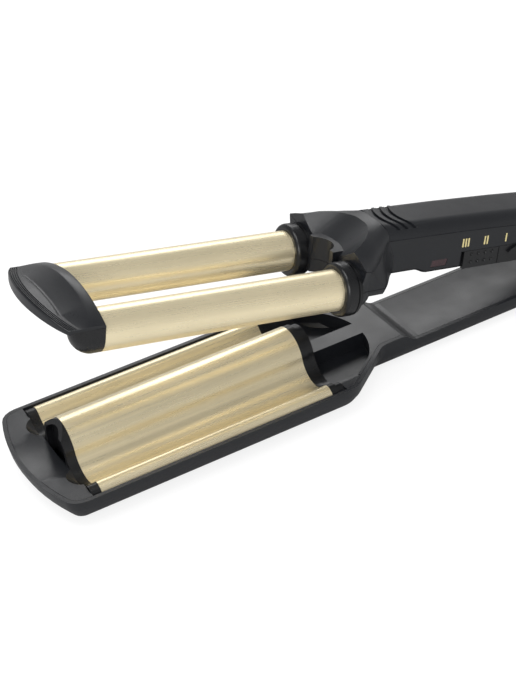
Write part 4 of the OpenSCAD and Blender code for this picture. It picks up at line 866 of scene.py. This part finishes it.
class WAVER_OT_setting_marks(bpy.types.Operator):
    """Prints the settings III, II and I as rounded bars on the side panel"""
    bl_idname = "waver.setting_marks"
    bl_label = "Setting marks"

    def execute(self, context):
        s = context.scene.waver_marks
        # middle of the setting III, face of the side panel, foot of the bars and its fall to the next setting
        first_x, side_y, foot_z, fall = -84.9, -15.3, 7.6, 0.2
        places = []
        for setting, bars in enumerate((3, 2, 1)):
            middle_x, middle_z = first_x + setting * s.step, foot_z - fall * setting + s.height / 2
            places += [(middle_x + (bar - (bars - 1) / 2) * s.pitch, side_y, middle_z) for bar in range(bars)]
        colour = finish_settings().print_colour
        ink = once("pale gold print", lambda n: gold_print(n, colour))
        mesh = bars_tree().grow(points_mesh("mark places", places), {
            "Bar height": s.height * MM, "Bar width": s.width * MM, "Bar thickness": s.thickness * MM,
            "Bar corner": s.corner * MM, "Material": ink})
        mesh.transform(UPPER_FRAME)
        smooth(mesh, 35)
        new_piece("setting_bars", mesh, UPPER, "setting_marks")
        return {"FINISHED"}


class WAVER_OT_hinge(bpy.types.Operator):
    """Winds the hinge spring as round wire and dresses the pin, washers, bushes and caps"""
    bl_idname = "waver.hinge"
    bl_label = "Hinge"

    def execute(self, context):
        s = context.scene.waver_spring
        # angles in degrees: the upper leg lies along the open arm, the lower leg leaves half a turn on
        start, end = math.degrees(OPEN_ANGLE), 360 * s.turns + 180
        steps_a_turn = 40
        steps = steps_a_turn * s.turns + steps_a_turn // 2

        def centre(a):
            r = math.radians(a)
            y = s.pitch * (a - (start + end) / 2) / 360
            return Vector((s.coil_radius * math.sin(r), y, s.coil_radius * math.cos(r) + HINGE_H))

        def along(a):
            r = math.radians(a)
            return Vector((math.cos(r), 0, -math.sin(r)))

        coil = [centre(mix(start, end, i / steps)) for i in range(steps + 1)]
        line = [coil[0] - along(start) * s.upper_leg] + coil + [coil[-1] + along(end) * s.lower_leg]
        mesh = wire_tree().grow(points_mesh("spring line", line, [(i, i + 1) for i in range(len(line) - 1)]),
                                {"Wire radius": s.wire / 2 * MM, "Sides": 16, "Material": steel()})
        smooth(mesh, 50)
        new_piece("jaw_spring", mesh, LOWER, "hinge_spring")
        dress("hinge_pin", "jaw_pin", LOWER, "steel", steel(), angle=40)
        dress("hinge_caps", "jaw_pin_caps", LOWER, "dark_plastic", dark_plastic(), angle=40)
        dress("hinge_washers", "jaw_washers", LOWER, "washer_plastic",
              once("washer white", lambda n: satin_plastic(n, (0.62, 0.62, 0.60), 0.45, 0.0004)), angle=40)
        dress("hinge_bushes", "jaw_bushes", UPPER, "bush_metal",
              once("bush bronze", lambda n: bare_metal(n, (0.62, 0.45, 0.20), 0.32, (1, 0.05, 1))), angle=40)
        return {"FINISHED"}


class WAVER_OT_screws(bpy.types.Operator):
    """Sets the casing screws in their wells"""
    bl_idname = "waver.screws"
    bl_label = "Screws"

    def execute(self, context):
        s = context.scene.waver_screws
        tree = screws_tree()
        groups = (
            ("lower_screws", "tray_screws", LOWER, Matrix.Identity(4), 8.2,
             [(-294.6, -24, 1), (-294.6, 24, 1), (-130, 0, 1), (-36, 0, 1)]),
            ("tip_screws", "tip_cap_screws", UPPER, UPPER_FRAME, 13.6,
             [(-283.4, -22.1, -6.4), (-283.4, 22.1, -6.4)]),
        )
        for node, name, body, frame_of_body, length, places in groups:
            mesh = tree.grow(points_mesh("screw places", places), {
                "Head radius": s.head_radius * MM, "Head height": s.head_height * MM,
                "Core radius": s.core_radius * MM, "Thread radius": s.thread_radius * MM,
                "Thread pitch": s.thread_pitch * MM, "Recess width": s.recess_width * MM,
                "Recess depth": s.recess_depth * MM, "Length": length * MM, "Material": steel()})
            mesh.transform(frame_of_body)
            smooth(mesh, 40)
            new_piece(name, mesh, body, node)
        dress("handle_screws", "upper_arm_screws", UPPER, "steel", steel(), angle=40)
        return {"FINISHED"}


class WAVER_OT_inner_works(bpy.types.Operator):
    """Gives the hidden heaters, leads, board and switch their finishes"""
    bl_idname = "waver.inner_works"
    bl_label = "Inner works"

    def execute(self, context):
        stone = once("heater stone", lambda n: fired_stone(n, (0.68, 0.60, 0.46)))
        cast = once("cast aluminium", lambda n: bare_metal(n, (0.62, 0.63, 0.65), 0.48, (0.2, 1, 1)))
        leads = once("lead sleeve", lambda n: lead_sleeve(n, (0.36, 0.045, 0.035)))
        white = once("terminal white", lambda n: satin_plastic(n, (0.60, 0.60, 0.57), 0.45, 0.0004))
        black = once("switch black", lambda n: satin_plastic(n, (0.012, 0.012, 0.012), 0.5, 0.0003))
        mask = once("solder mask", lambda n: circuit_board(n, (0.018, 0.10, 0.04)))
        finishes = {
            "plate_spreader": cast, "barrel_spreaders": cast, "thermal_fuse": cast,
            "plate_heater": stone, "barrel_heaters": stone, "barrel_insulators": stone,
            "heater_clip": steel(), "swivel_clip": steel(), "lower_leads": leads, "upper_leads": leads,
            "control_board": mask, "terminal_block": white, "switch_body": black,
        }
        for node, material in finishes.items():
            keep_node(node, material)
        dress("cord_swivel", "cord_sleeve", INLET, "dark_plastic", dark_plastic(), angle=40)
        return {"FINISHED"}


class WAVER_OT_stage(bpy.types.Operator):
    """Makes the floor, the lamps, the world and the camera"""
    bl_idname = "waver.stage"
    bl_label = "Stage"

    def execute(self, context):
        scene, look = context.scene, context.scene.waver_stage
        # floor: half lit from itself where the camera sees it, and dimmed there and in reflections
        half, below = 6.0, -0.0003
        dim_seen, dim_mirrored, lift_seen = 0.74, 0.55, 0.80
        mesh = bpy.data.meshes.new("floor")
        mesh.from_pydata([(x * half, y * half, below) for x, y in ((-1, -1), (1, -1), (1, 1), (-1, 1))],
                         [], [(0, 1, 2, 3)])
        floor = bpy.data.objects.new("floor", mesh)
        scene.collection.objects.link(floor)
        s = Shader(bpy.data.materials.new("pale floor"))
        seen, mirrored = light_path(s, "Is Camera Ray", "Is Glossy Ray")
        dimming = (seen * dim_seen + mirrored * dim_mirrored).clamped()
        shade = s.blend(dimming, rgba(look.floor_colour), BLACK)
        plain = s.add("ShaderNodeBsdfDiffuse", None, {"Color": shade})
        lift = s.add("ShaderNodeEmission", None, {"Color": WHITE, "Strength": seen * lift_seen})
        mesh.materials.append(s.end(s.add("ShaderNodeAddShader", None, {0: plain, 1: lift})))

        def lamp(name, place, size, power):
            data = bpy.data.lights.new(name, "AREA")
            data.shape, (data.size, data.size_y), data.energy = "RECTANGLE", size, power
            obj = bpy.data.objects.new(name, data)
            scene.collection.objects.link(obj)
            obj.location = place
            obj.rotation_euler = (middle - Vector(place)).to_track_quat("-Z", "Y").to_euler()

        middle = Vector((-0.15, 0.0, 0.045))
        lamp("back softbox", (0.45, 1.25, 0.90), (0.85, 0.75), look.back_power)
        lamp("top softbox", (-0.55, -0.10, 1.45), (0.9, 0.6), look.top_power)
        lamp("front softbox", (-1.0, -1.15, 0.75), (0.7, 0.7), look.front_power)

        # world: white to the camera, a wall that darkens upwards in reflections, and even light elsewhere
        wall_foot, wall_top, wall_height = 0.50, 0.20, 0.75
        scene.world = bpy.data.worlds.new("studio")
        s = Shader(scene.world)
        seen, glossy, passing = light_path(s, "Is Camera Ray", "Is Glossy Ray", "Is Transmission Ray")
        mirrored = (glossy + passing).clamped()
        direction = s.add("ShaderNodeTexCoord", output="Generated")
        height = s.add("ShaderNodeSeparateXYZ", None, {"Vector": direction}, output=2)
        wall = s.ramp(height, 0.0, wall_height, wall_foot, wall_top)
        strength = seen + (1 - seen) * (mirrored * wall + (1 - mirrored) * look.world_light)
        light = s.add("ShaderNodeBackground", None, {"Color": WHITE, "Strength": strength})
        s.end(light, "ShaderNodeOutputWorld")

        # camera: as fitted to the photo
        data = bpy.data.cameras.new("camera")
        data.sensor_fit, data.sensor_width, data.lens = "AUTO", 36.0, 89.316
        data.clip_start, data.clip_end = 0.01, 50.0
        camera = bpy.data.objects.new("camera", data)
        scene.collection.objects.link(camera)
        camera.location = (-0.465245, -0.591793, 0.461494)
        camera.rotation_euler = Euler([math.radians(a) for a in (56.23486, 6.01575, -29.29841)], "XYZ")
        scene.camera = camera
        scene.view_settings.view_transform = "Standard"
        return {"FINISHED"}


class WAVER_PT_panel(bpy.types.Panel):
    """Lists what builds the hair waver"""
    bl_idname = "WAVER_PT_panel"
    bl_label = "Hair Waver"
    bl_space_type = "VIEW_3D"
    bl_region_type = "UI"
    bl_category = "Hair Waver"

    def draw(self, context):
        scene = context.scene
        for title, group in (("Finish", scene.waver_finish), ("Tip rest", scene.waver_tip_rest),
                             ("Setting marks", scene.waver_marks), ("Screws", scene.waver_screws),
                             ("Spring", scene.waver_spring), ("Stage", scene.waver_stage)):
            box = self.layout.box()
            box.label(text=title)
            for key in group.__annotations__:
                box.prop(group, key)
        column = self.layout.column()
        for operator in OPERATORS:
            column.operator(operator.bl_idname)


GROUPS = {"waver_finish": WaverFinish, "waver_tip_rest": TipRestSizes, "waver_marks": MarkSizes,
          "waver_screws": ScrewSizes, "waver_spring": SpringSizes, "waver_stage": StageLook}
OPERATORS = [WAVER_OT_stage, WAVER_OT_lower_casing, WAVER_OT_jaw_metal, WAVER_OT_tip_rest,
             WAVER_OT_upper_casing, WAVER_OT_switch, WAVER_OT_setting_marks, WAVER_OT_hinge,
             WAVER_OT_screws, WAVER_OT_inner_works]


def register():
    for group in GROUPS.values():
        bpy.utils.register_class(group)
    for name, group in GROUPS.items():
        setattr(bpy.types.Scene, name, bpy.props.PointerProperty(type=group))
    for operator in OPERATORS:
        bpy.utils.register_class(operator)
    bpy.utils.register_class(WAVER_PT_panel)


def unregister():
    bpy.utils.unregister_class(WAVER_PT_panel)
    for operator in reversed(OPERATORS):
        bpy.utils.unregister_class(operator)
    for name in GROUPS:
        delattr(bpy.types.Scene, name)
    for group in reversed(list(GROUPS.values())):
        bpy.utils.unregister_class(group)


def main():
    register()
    for operator in OPERATORS:
        group, name = operator.bl_idname.split(".")
        getattr(getattr(bpy.ops, group), name)()


if __name__ == "__main__":
    main()
